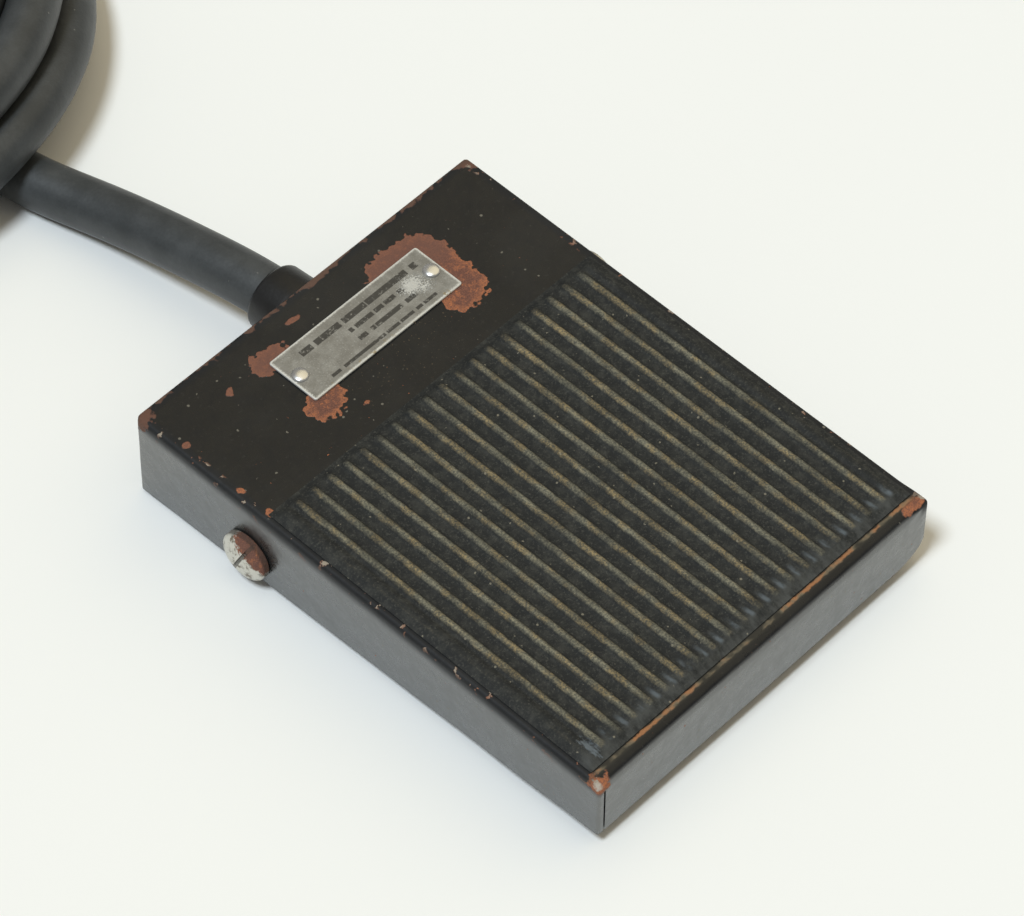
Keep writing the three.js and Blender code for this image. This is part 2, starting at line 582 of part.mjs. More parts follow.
place(model, 'switch_case', switchCase(), phenolic);
place(model, 'switch_plunger', switchPlunger(), nylon);
const SWITCH_SEAT = SWITCH_TOP + GAP;
const CLAMP_SEAT = BASE_TOP + 2 * GAP + SHEET;
for (const [side, word] of [[-1, 'left'], [1, 'right']]) {
  const switchScrew = screw(side * SWITCH_SCREW_X, SWITCH_Y, SWITCH_SEAT, 2.8, 1.6, 1.5, 1.6);
  place(model, `switch_screw_${word}`, switchScrew, zinc);
  const clampScrew = screw(side * CLAMP_SCREW_X, CLAMP_Y, CLAMP_SEAT, 3.2, 2, 1.7, 1.6);
  place(model, `clamp_screw_${word}`, clampScrew, zinc);
}
place(model, 'switch_terminal_common', terminal(-TERMINAL_PITCH), brass);
place(model, 'switch_terminal_closed', terminal(0), brass);
place(model, 'switch_terminal_open', terminal(TERMINAL_PITCH), brass);
place(model, 'crimp_connector_common', crimp(-TERMINAL_PITCH), brass);
place(model, 'crimp_connector_open', crimp(TERMINAL_PITCH), brass);
place(model, 'wire_common', switchWire(-1), wireBlack);
place(model, 'wire_open', switchWire(1), wireWhite);
place(model, 'wire_ground', groundWire(), wireGreen);
place(model, 'ground_lug', groundLug(), brass);
const GROUND_SEAT = BASE_TOP + 2 * GAP + 0.8;
place(model, 'ground_screw', screw(GROUND_X, GROUND_Y, GROUND_SEAT, 3.4, 2.2, 1.8, 1.6), brass);

place(model, 'cord_bushing', cordBushing(), blackRubber);
place(model, 'cord_jacket_end', cordJacket(), cordRubber);
place(model, 'cord_clamp', cordClamp(), bareSteel);
place(model, 'cord_run', tube(LEAD_ROUTE, CORD_R, 12, 12), cordRubber);
place(model, 'cord_coil', coilRing(), cordRubber);
place(model, 'coil_tie', coilTie(), blackRubber);
place(model, 'cord_tail', tube(TAIL_ROUTE, CORD_R, 10, 12), cordRubber);
place(model, 'plug_body', plugBody(), cordRubber);
place(model, 'plug_blade_front', plugBlade(-1), brass);
place(model, 'plug_blade_back', plugBlade(1), brass);
place(model, 'plug_ground_pin', plugPin(), brass);

export default model;
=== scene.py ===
"""Treadle foot switch with mains cord: the looks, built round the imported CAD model.

Lengths are millimetres in the CAD source's own axes, in which x = 0 is the middle of the treadle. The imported
model lies MODEL_SHIFT further along x, and at() turns these millimetres into the scene's metres.
"""
import math
from math import cos, pi, radians, sin

import bmesh
import bpy
from mathutils import Matrix, Vector
from mathutils import noise as field


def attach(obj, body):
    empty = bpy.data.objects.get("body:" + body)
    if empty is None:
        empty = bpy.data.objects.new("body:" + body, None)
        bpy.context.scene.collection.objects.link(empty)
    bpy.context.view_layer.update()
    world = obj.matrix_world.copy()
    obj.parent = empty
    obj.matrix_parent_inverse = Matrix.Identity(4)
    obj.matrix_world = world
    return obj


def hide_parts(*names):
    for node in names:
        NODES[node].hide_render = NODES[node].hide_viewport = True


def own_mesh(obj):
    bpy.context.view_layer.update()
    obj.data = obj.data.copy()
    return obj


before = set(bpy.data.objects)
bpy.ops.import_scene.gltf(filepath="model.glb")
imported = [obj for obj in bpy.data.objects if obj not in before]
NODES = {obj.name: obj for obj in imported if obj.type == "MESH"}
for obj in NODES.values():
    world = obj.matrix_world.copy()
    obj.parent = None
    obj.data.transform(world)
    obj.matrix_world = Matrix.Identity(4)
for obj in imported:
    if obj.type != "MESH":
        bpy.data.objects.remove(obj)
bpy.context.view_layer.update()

MM = 0.001
MODEL_SHIFT = -1.4

# The treadle's own frame: the origin is on the pivot, u goes to the right, v along the tread to the rear
# and w square to the tread.
PIVOT = (27.2, 7.3)
TILT = radians(1.87)
COVER_HALF = 41.25
COVER_REAR = 28.2
COVER_FRONT = -82.4
COVER_TOP = 12.8
REAR_LOW = -7.4
FRONT_LOW = -1.2
SHEET = 1.2
GAP = 0.3
LIFT = 0.05  # the mat and the plate lie this far above the cover
SIDE_BEND = 0.9
FRONT_BEND = 2.3
REAR_BEND = 0.9

MAT_HALF = 40.0
MAT_REAR = -3.6
MAT_FRONT = -79.3
RIB_PITCH = 3.9
RIB_COUNT = 19

PLATE_X = 1.2
PLATE_V = COVER_REAR - 14.45
PLATE_SIZE = (36.6, 11.7)
PIN_SPACING = 32.7
SLOT_LEAN = radians(64)  # the bolt's slot rises towards the front
BORE = 2.7  # of the cover, the washer and the nut

BASE_LOW = 2.4

CORD_D = 10.2
CORD_Z = 11.0
BUSHING_END = 64.0
COIL = (-22.2, 182.4)
COIL_RADII = (61.6, 51.4, 41.2, 46.3, 56.5)
TIE_ANGLE = radians(205)
PLUG = (-32.0, 263.3, 12.6)


def at(x, y, z):
    return Vector(((x + MODEL_SHIFT) * MM, y * MM, z * MM))


def on_tread(u, v, w):
    """A point of the treadle's own frame."""
    y = PIVOT[0] + v * cos(TILT) - w * sin(TILT)
    z = PIVOT[1] + v * sin(TILT) + w * cos(TILT)
    return at(u, y, z)


def add(name, data):
    """A new object in the scene."""
    item = bpy.data.objects.new(name, data)
    bpy.context.scene.collection.objects.link(item)
    return item


# ---------------------------------------------------------------- camera
CAMERA_TARGET = Vector((1.704, 7.054, 10.0))
CAMERA_AZIMUTH = radians(-45.324)
CAMERA_ELEVATION = radians(51.712)
CAMERA_ROLL = radians(-1.125)
CAMERA_DISTANCE = 926.565
SENSOR = 36.0
LENS = 186.61


def add_camera():
    level = cos(CAMERA_ELEVATION)
    back = Vector((sin(CAMERA_AZIMUTH) * level, -cos(CAMERA_AZIMUTH) * level,
                   sin(CAMERA_ELEVATION)))
    side = Vector((cos(CAMERA_AZIMUTH), sin(CAMERA_AZIMUTH), 0.0))
    rise = back.cross(side)
    right = side * cos(CAMERA_ROLL) + rise * sin(CAMERA_ROLL)
    up = rise * cos(CAMERA_ROLL) - side * sin(CAMERA_ROLL)
    data = bpy.data.cameras.new("camera")
    data.sensor_width = SENSOR
    data.lens = LENS
    data.clip_start = 0.01
    data.clip_end = 20.0
    camera = add("camera", data)
    place = (CAMERA_TARGET + back * CAMERA_DISTANCE) * MM
    turn = Matrix((right, up, back)).transposed().to_4x4()
    camera.matrix_world = Matrix.Translation(place) @ turn
    bpy.context.scene.camera = camera


add_camera()


# ---------------------------------------------------------------- materials
def feed(socket, value):
    """Links a Value to a node's input, or sets a plain number, vector or colour there."""
    if isinstance(value, Value):
        value.tree.links.new(value.socket, socket)
    elif socket.type == "RGBA":
        socket.default_value = (*value, 1.0)
    else:
        socket.default_value = value


def operation(kind, swapped=False):
    """A method of Value that does one step of arithmetic with a node."""
    def apply(value, *others):
        return value.calc(kind, *others, value) if swapped else value.calc(kind, value, *others)
    return apply


class Value:
    """A number, vector or colour inside a material; arithmetic and methods on it add nodes."""

    __add__ = operation("ADD")
    __sub__ = operation("SUBTRACT")
    __rsub__ = operation("SUBTRACT", swapped=True)
    __mul__ = operation("MULTIPLY")
    __truediv__ = operation("DIVIDE")
    __mod__ = operation("MODULO")
    __abs__ = operation("ABSOLUTE")
    most = operation("MAXIMUM")
    least = operation("MINIMUM")

    def __init__(self, tree, socket):
        self.tree = tree
        self.socket = socket

    def calc(self, kind, *values, node_type="ShaderNodeMath", output=0):
        node = self.tree.nodes.new(node_type)
        node.operation = kind
        for socket, value in zip(node.inputs, values):
            feed(socket, value)
        return Value(self.tree, node.outputs[output])

    def vector(self, kind, *others, output="Vector"):
        return self.calc(kind, self, *others, node_type="ShaderNodeVectorMath", output=output)

    def length(self):
        return self.vector("LENGTH", output="Value")

    def split(self):
        node = self.tree.nodes.new("ShaderNodeSeparateXYZ")
        feed(node.inputs[0], self)
        return [Value(self.tree, socket) for socket in node.outputs]

    def noise(self, scale, detail=4.0, rough=0.7, stretch=None):
        """Noise from 0 to 1 at this place; scale counts features per unit of length."""
        node = self.tree.nodes.new("ShaderNodeTexNoise")
        feed(node.inputs["Vector"], self.vector("MULTIPLY", stretch) if stretch else self)
        for name, value in (("Scale", scale), ("Detail", detail), ("Roughness", rough)):
            node.inputs[name].default_value = value
        return Value(self.tree, node.outputs["Fac"])

    def cells(self, scale):
        """Distance from the middle of the nearest cell."""
        node = self.tree.nodes.new("ShaderNodeTexVoronoi")
        feed(node.inputs["Vector"], self)
        node.inputs["Scale"].default_value = scale
        return Value(self.tree, node.outputs["Distance"])

    def band(self, low, high):
        """0 below low, 1 above high, smooth between; low may be the higher number."""
        node = self.tree.nodes.new("ShaderNodeMapRange")
        node.interpolation_type = "SMOOTHSTEP"
        feed(node.inputs["Value"], self)
        flip = 1.0 if low > high else 0.0
        node.inputs["From Min"].default_value = min(low, high)
        node.inputs["From Max"].default_value = max(low, high)
        node.inputs["To Min"].default_value = flip
        node.inputs["To Max"].default_value = 1.0 - flip
        return Value(self.tree, node.outputs[0])

    def mix(self, first, second, kind="RGBA"):
        """A colour: first where this value is 0, second where it is 1."""
        node = self.tree.nodes.new("ShaderNodeMix")
        node.data_type = kind
        for name, value in (("Factor", self), ("A", first), ("B", second)):
            feed([s for s in node.inputs if s.name == name and s.enabled][0], value)
        return Value(self.tree, [s for s in node.outputs if s.enabled][0])

    def blend(self, first, second):
        """The same for plain numbers."""
        return self.mix(first, second, "FLOAT")


def layered(color, *layers):
    """A colour with others over it, each given as how much of it and the colour itself."""
    for much, over in layers:
        color = much.mix(color, over)
    return color


def join(x, y, z):
    """A vector; x is a Value."""
    node = x.tree.nodes.new("ShaderNodeCombineXYZ")
    for socket, value in zip(node.inputs, (x, y, z)):
        feed(socket, value)
    return Value(x.tree, node.outputs[0])


class Shade:
    """One procedural material."""

    def __init__(self, name):
        self.material = bpy.data.materials.new(name)
        self.material.use_nodes = True
        self.tree = self.material.node_tree
        self.tree.nodes.clear()
        output = self.tree.nodes.new("ShaderNodeOutputMaterial")
        self.surface = self.tree.nodes.new("ShaderNodeBsdfPrincipled")
        self.tree.links.new(self.surface.outputs[0], output.inputs[0])
        self.place = Value(self.tree, self.tree.nodes.new("ShaderNodeTexCoord").outputs["Object"])

    def in_mm(self):
        """Object coordinates in millimetres."""
        return self.place.vector("MULTIPLY", (1 / MM,) * 3)

    def on_tread(self):
        """The treadle's own u, v and w in millimetres, and the three as one vector."""
        moved = self.place.vector("SUBTRACT", tuple(at(0, *PIVOT)))
        level, lean = cos(TILT) / MM, sin(TILT) / MM
        axes = ((1 / MM, 0.0, 0.0), (0.0, level, lean), (0.0, -lean, level))
        u, v, w = [moved.vector("DOT_PRODUCT", axis, output="Value") for axis in axes]
        return u, v, w, join(u, v, w)

    def set(self, **values):
        names = {"color": "Base Color", "rough": "Roughness", "metal": "Metallic", "ior": "IOR"}
        for key, value in values.items():
            feed(self.surface.inputs[names[key]], value)

    def bump(self, height, depth):
        """Bump of a height from 0 to 1, depth in millimetres; calls add up."""
        node = self.tree.nodes.new("ShaderNodeBump")
        node.inputs["Distance"].default_value = depth * MM
        feed(node.inputs["Height"], height)
        normal = self.surface.inputs["Normal"]
        if normal.is_linked:
            self.tree.links.new(normal.links[0].from_socket, node.inputs["Normal"])
        self.tree.links.new(node.outputs[0], normal)


RUST_DULL = (0.215, 0.090, 0.058)
RUST_BRIGHT = (0.47, 0.165, 0.065)
RUST_DARK = (0.125, 0.056, 0.040)
ENAMEL = (0.0080, 0.0088, 0.0102)
ENAMEL_WARM = (0.0130, 0.0138, 0.0148)
WALL_SHINE = (0.185, 0.188, 0.188)  # the mirror strength of glossy enamel, as the colour of a metal

# Bare rusty patches round the plate, as ellipses: x, distance from the rear edge, and their two radii.
RUST_BLOBS = ((14.2, 9.6, 6.8, 4.9), (19.0, 12.2, 5.2, 7.0), (19.4, 18.8, 4.5, 6.2), (17.8, 21.6, 4.0, 3.4),
              (-16.3, 8.0, 4.1, 2.7), (-16.0, 21.6, 4.3, 3.4))
# The same for the small spots further out.
RUST_SPOTS = ((-26.1, 8.0, 0.9, 0.8), (-7.4, 4.5, 1.4, 0.6), (-11.0, 26.6, 0.5, 0.4), (-39.4, 11.1, 0.8, 0.8),
              (-39.7, 24.6, 0.5, 0.7), (-39.5, 31.4, 0.8, 0.8), (38.8, 109.2, 2.9, 1.1))
AROUND_PLATE = ((2.0, 19.5, 21.0, 11.0),)
# The largest painted highlight at the front of the mat's channels, as an ellipse: x, distance from the front
# edge, and its two radii.
FRONT_LEFT_GLINT = ((-36.8, 3.4, 0.8, 1.9),)


def rust_color(place, edge):
    """Rust, brighter where edge is near 1."""
    grain = place.noise(3.5, 3.0, 0.7)
    dull = grain.band(0.35, 0.7).mix(RUST_DARK, RUST_DULL)
    bright = grain.band(0.3, 0.65).mix(RUST_DULL, RUST_BRIGHT)
    cloud = place.noise(0.9, 4.0, 0.65).band(0.5, 0.72)
    return (edge * 0.8).most(cloud).mix(dull, bright)


def blob_field(u, d, blobs):
    """About how many millimetres outside the nearest ellipse, negative inside."""
    nearest = None
    for x, y, rx, ry in blobs:
        past = (join((u - x) / rx, (d - y) / ry, 0.0).length() - 1.0) * min(rx, ry)
        nearest = past if nearest is None else nearest.least(past)
    return nearest


def enamel_tread():
    """The cover: shiny black walls, a tread dulled by use, and rust where the enamel is gone."""
    shade = Shade("worn_black_enamel")
    u, v, w, place = shade.on_tread()
    side = COVER_HALF - abs(u)
    drop = COVER_TOP - w
    from_rear = COVER_REAR - v
    from_front = v - COVER_FRONT
    ragged = place.noise(0.8, 3.0, 0.58) - 0.5
    scalloped = place.noise(0.62, 1.6, 0.5) - 0.5
    blotch = place.noise(0.16, 3.0, 0.6)
    on_top = drop.band(1.2, 0.6)
    front_half = v.band(-60.0, -70.0)

    # patches round the plate
    wide = blob_field(u, from_rear, RUST_BLOBS) + scalloped * 3.6
    small = blob_field(u, from_rear, RUST_SPOTS) + scalloped * 1.3
    past = wide.least(small) + ragged * 0.7
    patch = past.band(0.12, -0.12) * on_top

    # brown wear along the rear bend, and on all corners but the front right one
    rear_line = abs(from_rear - 0.5) - 0.25 - (blotch - 0.50) * 4.0
    rear_wear = (rear_line + ragged * 2.2).band(0.25, -0.25) * drop.band(2.6, 1.2)
    corner_reach = join(side, from_rear.least(from_front), drop).length()
    corner = (corner_reach + ragged * 4.6).band(3.3, 2.7)
    corner = corner * (1.0 - front_half * drop.band(1.6, 2.8)) * (1.0 - front_half * u.band(0.0, 10.0))

    # chips along the left and right bends
    chips = place.noise(0.42, 3.0, 0.6).band(0.615, 0.65) * abs(side - 0.9).band(1.1, 0.5)
    chips = chips * drop.band(3.2, 1.8)

    # a rusty ridge where the mat ends
    ridge = (abs(v - (MAT_FRONT - 0.55)) + ragged * 0.8).band(0.50, 0.15)
    ridge = ridge * blotch.band(0.38, 0.56) * side.band(0.85, 2.75)

    # specks: rust freckles, brown grit round the plate, pale dust grains
    freckle = place.noise(1.5, 2.0, 0.5).band(0.73, 0.75) * blotch.band(0.5, 0.62)
    near_plate = blob_field(u, from_rear, AROUND_PLATE).band(2.0, -4.0)
    grit = place.noise(2.1, 2.0, 0.5).band(0.68, 0.72) * near_plate
    specks = place.cells(0.42).band(0.13, 0.09) * place.noise(0.7, 1.0, 0.5).band(0.56, 0.6)
    dusty = place.noise(1.1, 5.0, 0.75).band(0.56, 0.80) * on_top

    # the walls kept their shine; handling dulled the tread and the bends
    near_edge = side.least(from_rear).band(2.4, 1.0) * drop.band(3.6, 0.8)
    shine = (1.0 - on_top) * (1.0 - near_edge)
    paint = place.noise(0.06, 4.0, 0.6).band(0.42, 0.68).mix(ENAMEL, ENAMEL_WARM)
    paint = layered(paint, (shine, WALL_SHINE), (dusty * 0.5, (0.055, 0.054, 0.050)),
                    (specks * 0.7, (0.20, 0.185, 0.15)), (grit * 0.65, (0.14, 0.10, 0.06)))

    rust = rust_color(place, past.band(-1.6, -0.1).most(corner))
    pale_chips = chips * place.noise(0.17, 2.0, 0.5).band(0.44, 0.52)
    rust = layered(rust, (from_rear.band(18.0, 10.0) * 0.72, (0.165, 0.078, 0.056)),
                   (rear_wear * 0.85, (0.100, 0.062, 0.046)),
                   (corner * v.band(18.0, 24.0) * 0.7, (0.100, 0.055, 0.040)),
                   (chips * 0.55, (0.17, 0.11, 0.085)), (pale_chips, (0.33, 0.28, 0.22)))

    bare = patch.most(rear_wear).most(corner).most(chips).most(freckle)
    # bare bright metal on the front left corner, and an olive band in front of the ridge, a painted warm
    # reflection
    bright = (corner_reach + ragged * 2.6).band(1.6, 0.8) * u.band(0.0, -10.0) * v.band(-70.0, -78.0)
    olive_reflection = v.band(MAT_FRONT - 1.5, MAT_FRONT - 0.9) * v.band(MAT_FRONT + 0.2, MAT_FRONT - 0.3) * on_top
    ridge_color = blotch.band(0.45, 0.6).mix((0.20, 0.165, 0.105), (0.33, 0.15, 0.065))
    color = layered(paint, (bare, rust), (bright, (0.46, 0.41, 0.35)), (olive_reflection * 0.5, (0.036, 0.034, 0.027)),
                    (ridge, ridge_color))

    dull = bare.most(ridge)
    gloss = near_edge.blend(place.noise(0.35, 4.0, 0.65).band(0.3, 0.8).blend(0.24, 0.40), 0.6)
    shade.set(color=color, metal=shine * (0.9 - dull * 0.9), rough=dull.blend(gloss, 0.82), ior=1.40)
    shade.bump(place.noise(0.28, 2.0, 0.5), 0.16)
    shade.bump(place.noise(4.0, 3.0, 0.6), 0.010)
    shade.bump(dull * place.noise(2.6), 0.16)
    return shade.material


def enamel_plain():
    """The base: dusty black enamel with a few worn spots."""
    shade = Shade("black_enamel_base")
    place = shade.in_mm()
    cloud = place.noise(0.08, 4.0, 0.6)
    worn = place.noise(0.7).band(0.66, 0.70)
    paint = cloud.band(0.4, 0.7).mix(ENAMEL, ENAMEL_WARM)
    dusty = place.noise(0.4, 5.0, 0.7).band(0.5, 0.85).mix(paint, (0.07, 0.062, 0.050))
    shade.set(color=worn.mix(dusty, rust_color(place, worn)), ior=1.7,
              rough=worn.blend(cloud.band(0.3, 0.7).blend(0.34, 0.5), 0.85))
    shade.bump(place.noise(3.0, 3.0, 0.6), 0.02)
    return shade.material


def ribbed_rubber():
    """The mat: dusty tan on the crowns of its ribs, dark in the channels."""
    shade = Shade("ribbed_mat_rubber")
    u, v, w, place = shade.on_tread()
    from_front = v - MAT_FRONT
    from_crown = abs((u + RIB_PITCH * (RIB_COUNT + 0.5)) % RIB_PITCH - RIB_PITCH / 2)
    ragged = place.noise(1.3, 4.0, 0.7, (1.0, 0.35, 1.0)) - 0.5
    streak = place.noise(0.5, 4.0, 0.65, (1.0, 0.22, 1.0))
    fine = place.noise(2.4, 3.0, 0.7)

    crown = (from_crown + ragged * 1.3).band(1.08, 0.05) * (w - (COVER_TOP + GAP)).band(0.60, 0.95)
    crown = crown * v.band(MAT_REAR - 0.5, MAT_REAR - 6.0)
    worn = streak.band(0.32, 0.7).blend(0.40, 1.0) * from_front.band(1.5, 5.5).blend(0.40, 1.0)
    tan = place.noise(0.22, 2.0, 0.5).band(0.42, 0.62).mix((0.265, 0.247, 0.176), (0.340, 0.260, 0.132))
    tan = fine.band(0.34, 0.66).mix((0.098, 0.097, 0.080), tan)
    black = place.noise(0.5).band(0.40, 0.75).mix((0.0165, 0.0177, 0.0176), (0.038, 0.0385, 0.0345))
    black = fine.band(0.50, 0.78).mix(black, (0.068, 0.0675, 0.058))
    black = (from_front.band(5.0, 1.2) * streak.band(0.30, 0.75)).mix(black, (0.068, 0.071, 0.068))
    color = (crown * worn).mix(black, tan)

    # painted bluish highlights where the channels end in front, the largest at the left
    channel_glint = from_front.band(1.4, 2.4) * from_front.band(5.6, 2.6) * from_crown.band(1.25, 1.85)
    channel_glint = channel_glint * place.noise(0.7, 3.0, 0.6, (1.0, 0.5, 1.0)).band(0.30, 0.60)
    largest_glint = (blob_field(u, from_front, FRONT_LEFT_GLINT) + ragged * 3.0).band(0.3, -0.5)
    color = (channel_glint * 0.8).most(largest_glint).mix(color, (0.120, 0.140, 0.155))
    grains = place.cells(0.55).band(0.16, 0.10) * place.noise(0.9, 1.0, 0.5).band(0.57, 0.62)
    color = (grains * 0.55).mix(color, (0.30, 0.27, 0.20))
    shade.set(color=color, rough=crown.blend(fine.blend(0.60, 0.76), 0.9), ior=1.3)
    shade.bump(fine, 0.05)
    shade.bump(place.noise(7.0, 2.0, 0.6), 0.015)
    return shade.material


def plain_rubber(name, color, pale, rough):
    """Moulded rubber with a little bloom and dust."""
    shade = Shade(name)
    place = shade.in_mm()
    fine = place.noise(2.0)
    dusty = (place.noise(0.11, 4.0, 0.6) + fine * 0.4).band(0.5, 1.0)
    lint = place.cells(0.35).band(0.10, 0.07) * place.noise(0.5, 1.0, 0.5).band(0.55, 0.6)
    shade.set(color=(lint * 0.4).mix(dusty.mix(color, pale), (0.3, 0.29, 0.26)),
              rough=fine.blend(rough - 0.08, rough + 0.1), ior=1.5)
    shade.bump(place.noise(0.5, 2.0, 0.5), 0.05)
    shade.bump(fine, 0.02)
    return shade.material


def metal(name, color, pale, rough, tarnish=(0.12, 0.09, 0.06)):
    """Plain metal, finely scratched and a little tarnished."""
    shade = Shade(name)
    place = shade.in_mm()
    scratches = place.noise(2.2)
    base = place.noise(0.5, 4.0, 0.6).band(0.35, 0.65).mix(color, pale)
    stain = place.noise(0.8, 5.0, 0.7).band(0.6, 0.8) * 0.7
    shade.set(color=stain.mix(base, tarnish), metal=1.0, rough=scratches.blend(rough - 0.08, rough + 0.14))
    shade.bump(scratches, 0.012)
    return shade.material


def worn_zinc():
    """The pivot bolt: whitish zinc, its head rusted towards the upper front."""
    shade = Shade("worn_zinc")
    place = shade.in_mm()
    x, y, z = place.split()
    y, z = y - PIVOT[0], z - PIVOT[1]
    ragged = place.noise(0.9) - 0.5
    past = y * -0.62 + z * 0.78 + ragged * 4.0
    rusty = past.band(2.3, 2.8)
    zinc = place.noise(0.7, 4.0, 0.65).band(0.5, 0.66).mix((0.66, 0.64, 0.57), (0.20, 0.17, 0.125))
    color = rusty.mix(zinc, rust_color(place, past.band(3.2, 2.2)))
    # painted shade in the slot and on the head's side
    across = y * -sin(SLOT_LEAN) + z * -cos(SLOT_LEAN)
    slot_shade = abs(across).band(0.42, 0.34) * x.band(-COVER_HALF - 2.0, -COVER_HALF - 3.0)
    side_shade = x.band(-COVER_HALF - 3.15, -COVER_HALF - 2.75)
    color = layered(color, (slot_shade * 0.6, (0.045, 0.034, 0.025)), (side_shade * 0.6, (0.055, 0.036, 0.026)))
    shade.set(color=color, metal=rusty.blend(0.55, 0.0), rough=rusty.blend(0.45, 0.85))
    shade.bump(place.noise(1.2, 3.0, 0.6), 0.25)
    shade.bump(rusty * place.noise(2.5), 0.2)
    return shade.material


# Plain printed rules on the plate: height on the plate, thickness, start and end along it.
PLATE_RULES = ((3.1, 1.35, -13.4, 15.6), (0.7, 1.0, -3.4, 10.6), (-1.7, 1.0, -3.4, 11.6),
               (-4.2, 0.7, -12.6, 13.4))
PLATE_SCAR = ((11.6, 0.2, 2.2, 1.7), (13.0, -1.6, 1.2, 0.8))


def plate_metal():
    """The plate: scratched aluminium with plain printed dashes."""
    shade = Shade("scratched_aluminium")
    u, v, _, place = shade.on_tread()
    x, y = u - PLATE_X, v - PLATE_V
    fine = place.noise(3.0)
    brushed = place.noise(2.0, 4.0, 0.7, (0.12, 2.0, 1.0))
    color = place.noise(0.3, 5.0, 0.65).band(0.35, 0.7).mix((0.215, 0.207, 0.186), (0.315, 0.308, 0.284))
    color = layered(color, (fine.band(0.56, 0.76), (0.52, 0.515, 0.49)),
                    (fine.band(0.42, 0.26), (0.14, 0.135, 0.12)))
    printed = None
    for height, thick, start, end in PLATE_RULES:
        across = abs(y - height).band(thick / 2 + 0.06, thick / 2 - 0.06)
        along = x.band(start - 0.1, start + 0.1) * x.band(end + 0.1, end - 0.1)
        dashes = join(x, height, 0.0).noise(0.55, 0.0, 0.5, (1.0, 3.0, 1.0)).band(0.38, 0.40)
        rule = across * along * dashes
        printed = rule if printed is None else printed.most(rule)
    left_over = printed * place.noise(1.4).band(0.68, 0.55)
    color = (left_over * 0.88).mix(color, (0.035, 0.033, 0.03))
    # a bright rim painted as an edge highlight, a scratched place beside the right pin, and dirt along the
    # front edge
    to_rim = (PLATE_SIZE[0] / 2 - abs(x)).least(PLATE_SIZE[1] / 2 - abs(y))
    rim = (to_rim + fine * 1.1).band(1.15, 0.75)
    scar = (blob_field(x, y, PLATE_SCAR) + (fine - 0.5) * 7.0).band(0.4, -0.4)
    color = (rim.most(scar * 0.8) * 0.75).mix(color, (0.78, 0.78, 0.74))
    dirt = place.noise(0.8).band(0.56, 0.66) * y.band(-4.6, -5.5)
    color = (dirt * 0.7).mix(color, (0.30, 0.22, 0.09))
    shade.set(color=color, metal=0.35, rough=brushed.blend(0.36, 0.58))
    shade.bump(brushed, 0.012)
    shade.bump(scar * fine, 0.10)
    shade.bump(place.noise(0.35, 2.0, 0.5), 0.10)
    return shade.material


def moulded(name, color, pale, rough):
    """Hard moulded plastic."""
    shade = Shade(name)
    place = shade.in_mm()
    shade.set(color=place.noise(0.3, 4.0, 0.6).mix(color, pale), ior=1.5,
              rough=place.noise(1.5).blend(rough - 0.08, rough + 0.12))
    shade.bump(place.noise(3.0, 3.0, 0.6), 0.012)
    return shade.material


LOOK = {
    "cover": enamel_tread(),
    "base": enamel_plain(),
    "mat": ribbed_rubber(),
    "plate": plate_metal(),
    "bolt": worn_zinc(),
    "zinc": metal("zinc_plate", (0.50, 0.48, 0.42), (0.68, 0.67, 0.62), 0.42),
    "pin": metal("drive_pin_metal", (0.74, 0.75, 0.75), (0.86, 0.87, 0.88), 0.26, tarnish=(0.4, 0.38, 0.34)),
    "steel": metal("bare_steel", (0.30, 0.29, 0.27), (0.42, 0.41, 0.39), 0.40, tarnish=(0.13, 0.07, 0.04)),
    "spring": metal("spring_steel", (0.20, 0.205, 0.21), (0.30, 0.30, 0.31), 0.34),
    "brass": metal("brass", (0.56, 0.38, 0.14), (0.68, 0.50, 0.22), 0.32, tarnish=(0.20, 0.13, 0.05)),
    "foot": plain_rubber("foot_rubber", (0.020, 0.020, 0.020), (0.060, 0.058, 0.054), 0.7),
    "bushing": plain_rubber("bushing_rubber", (0.005, 0.005, 0.005), (0.010, 0.010, 0.011), 0.40),
    "cord": plain_rubber("cord_rubber", (0.031, 0.035, 0.037), (0.058, 0.063, 0.066), 0.44),
    "plug": plain_rubber("plug_rubber", (0.016, 0.016, 0.017), (0.036, 0.036, 0.037), 0.5),
    "tie": plain_rubber("tie_rubber", (0.03, 0.03, 0.03), (0.07, 0.068, 0.064), 0.6),
    "phenolic": moulded("phenolic", (0.014, 0.011, 0.009), (0.026, 0.020, 0.016), 0.35),
    "nylon": moulded("nylon", (0.66, 0.62, 0.50), (0.74, 0.71, 0.61), 0.45),
    "wire_black": moulded("wire_black", (0.012, 0.012, 0.012), (0.022, 0.022, 0.022), 0.42),
    "wire_white": moulded("wire_white", (0.62, 0.60, 0.54), (0.72, 0.70, 0.65), 0.42),
    "wire_green": moulded("wire_green", (0.015, 0.12, 0.045), (0.025, 0.17, 0.065), 0.42),
}


# ---------------------------------------------------------------- meshes
def ease(low, high, value):
    """0 at low, 1 at high, a half cosine between; low may be the higher number."""
    share = min(max((value - low) / (high - low), 0.0), 1.0)
    return 0.5 - 0.5 * cos(pi * share)


SHARP = 35.0  # edges with a wider angle than this, in degrees, are not shaded smooth


def make(name, points, faces, look, body, slot, *nodes, sharp=SHARP):
    """A piece from points already in the scene's metres."""
    mesh = bpy.data.meshes.new(name)
    mesh.from_pydata([tuple(p) for p in points], [], faces)
    mesh.validate()
    mesh.materials.append(LOOK[look])
    mesh.shade_smooth()
    mesh.set_sharp_from_angle(angle=radians(sharp))
    piece = add(name, mesh)
    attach(piece, body)
    if nodes:
        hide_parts(*nodes)
    return piece


def modify(piece, kind, **settings):
    """Adds a modifier."""
    modifier = piece.modifiers.new(kind.lower(), kind)
    for key, value in settings.items():
        setattr(modifier, key, value)


def soften(piece, width, segments=2, angle=32.0):
    """Rounds the sharp edges."""
    modify(piece, "BEVEL", width=width * MM, segments=segments, limit_method="ANGLE",
           angle_limit=radians(angle), harden_normals=False, miter_outer="MITER_ARC")
    modify(piece, "WEIGHTED_NORMAL", keep_sharp=True)
    return piece


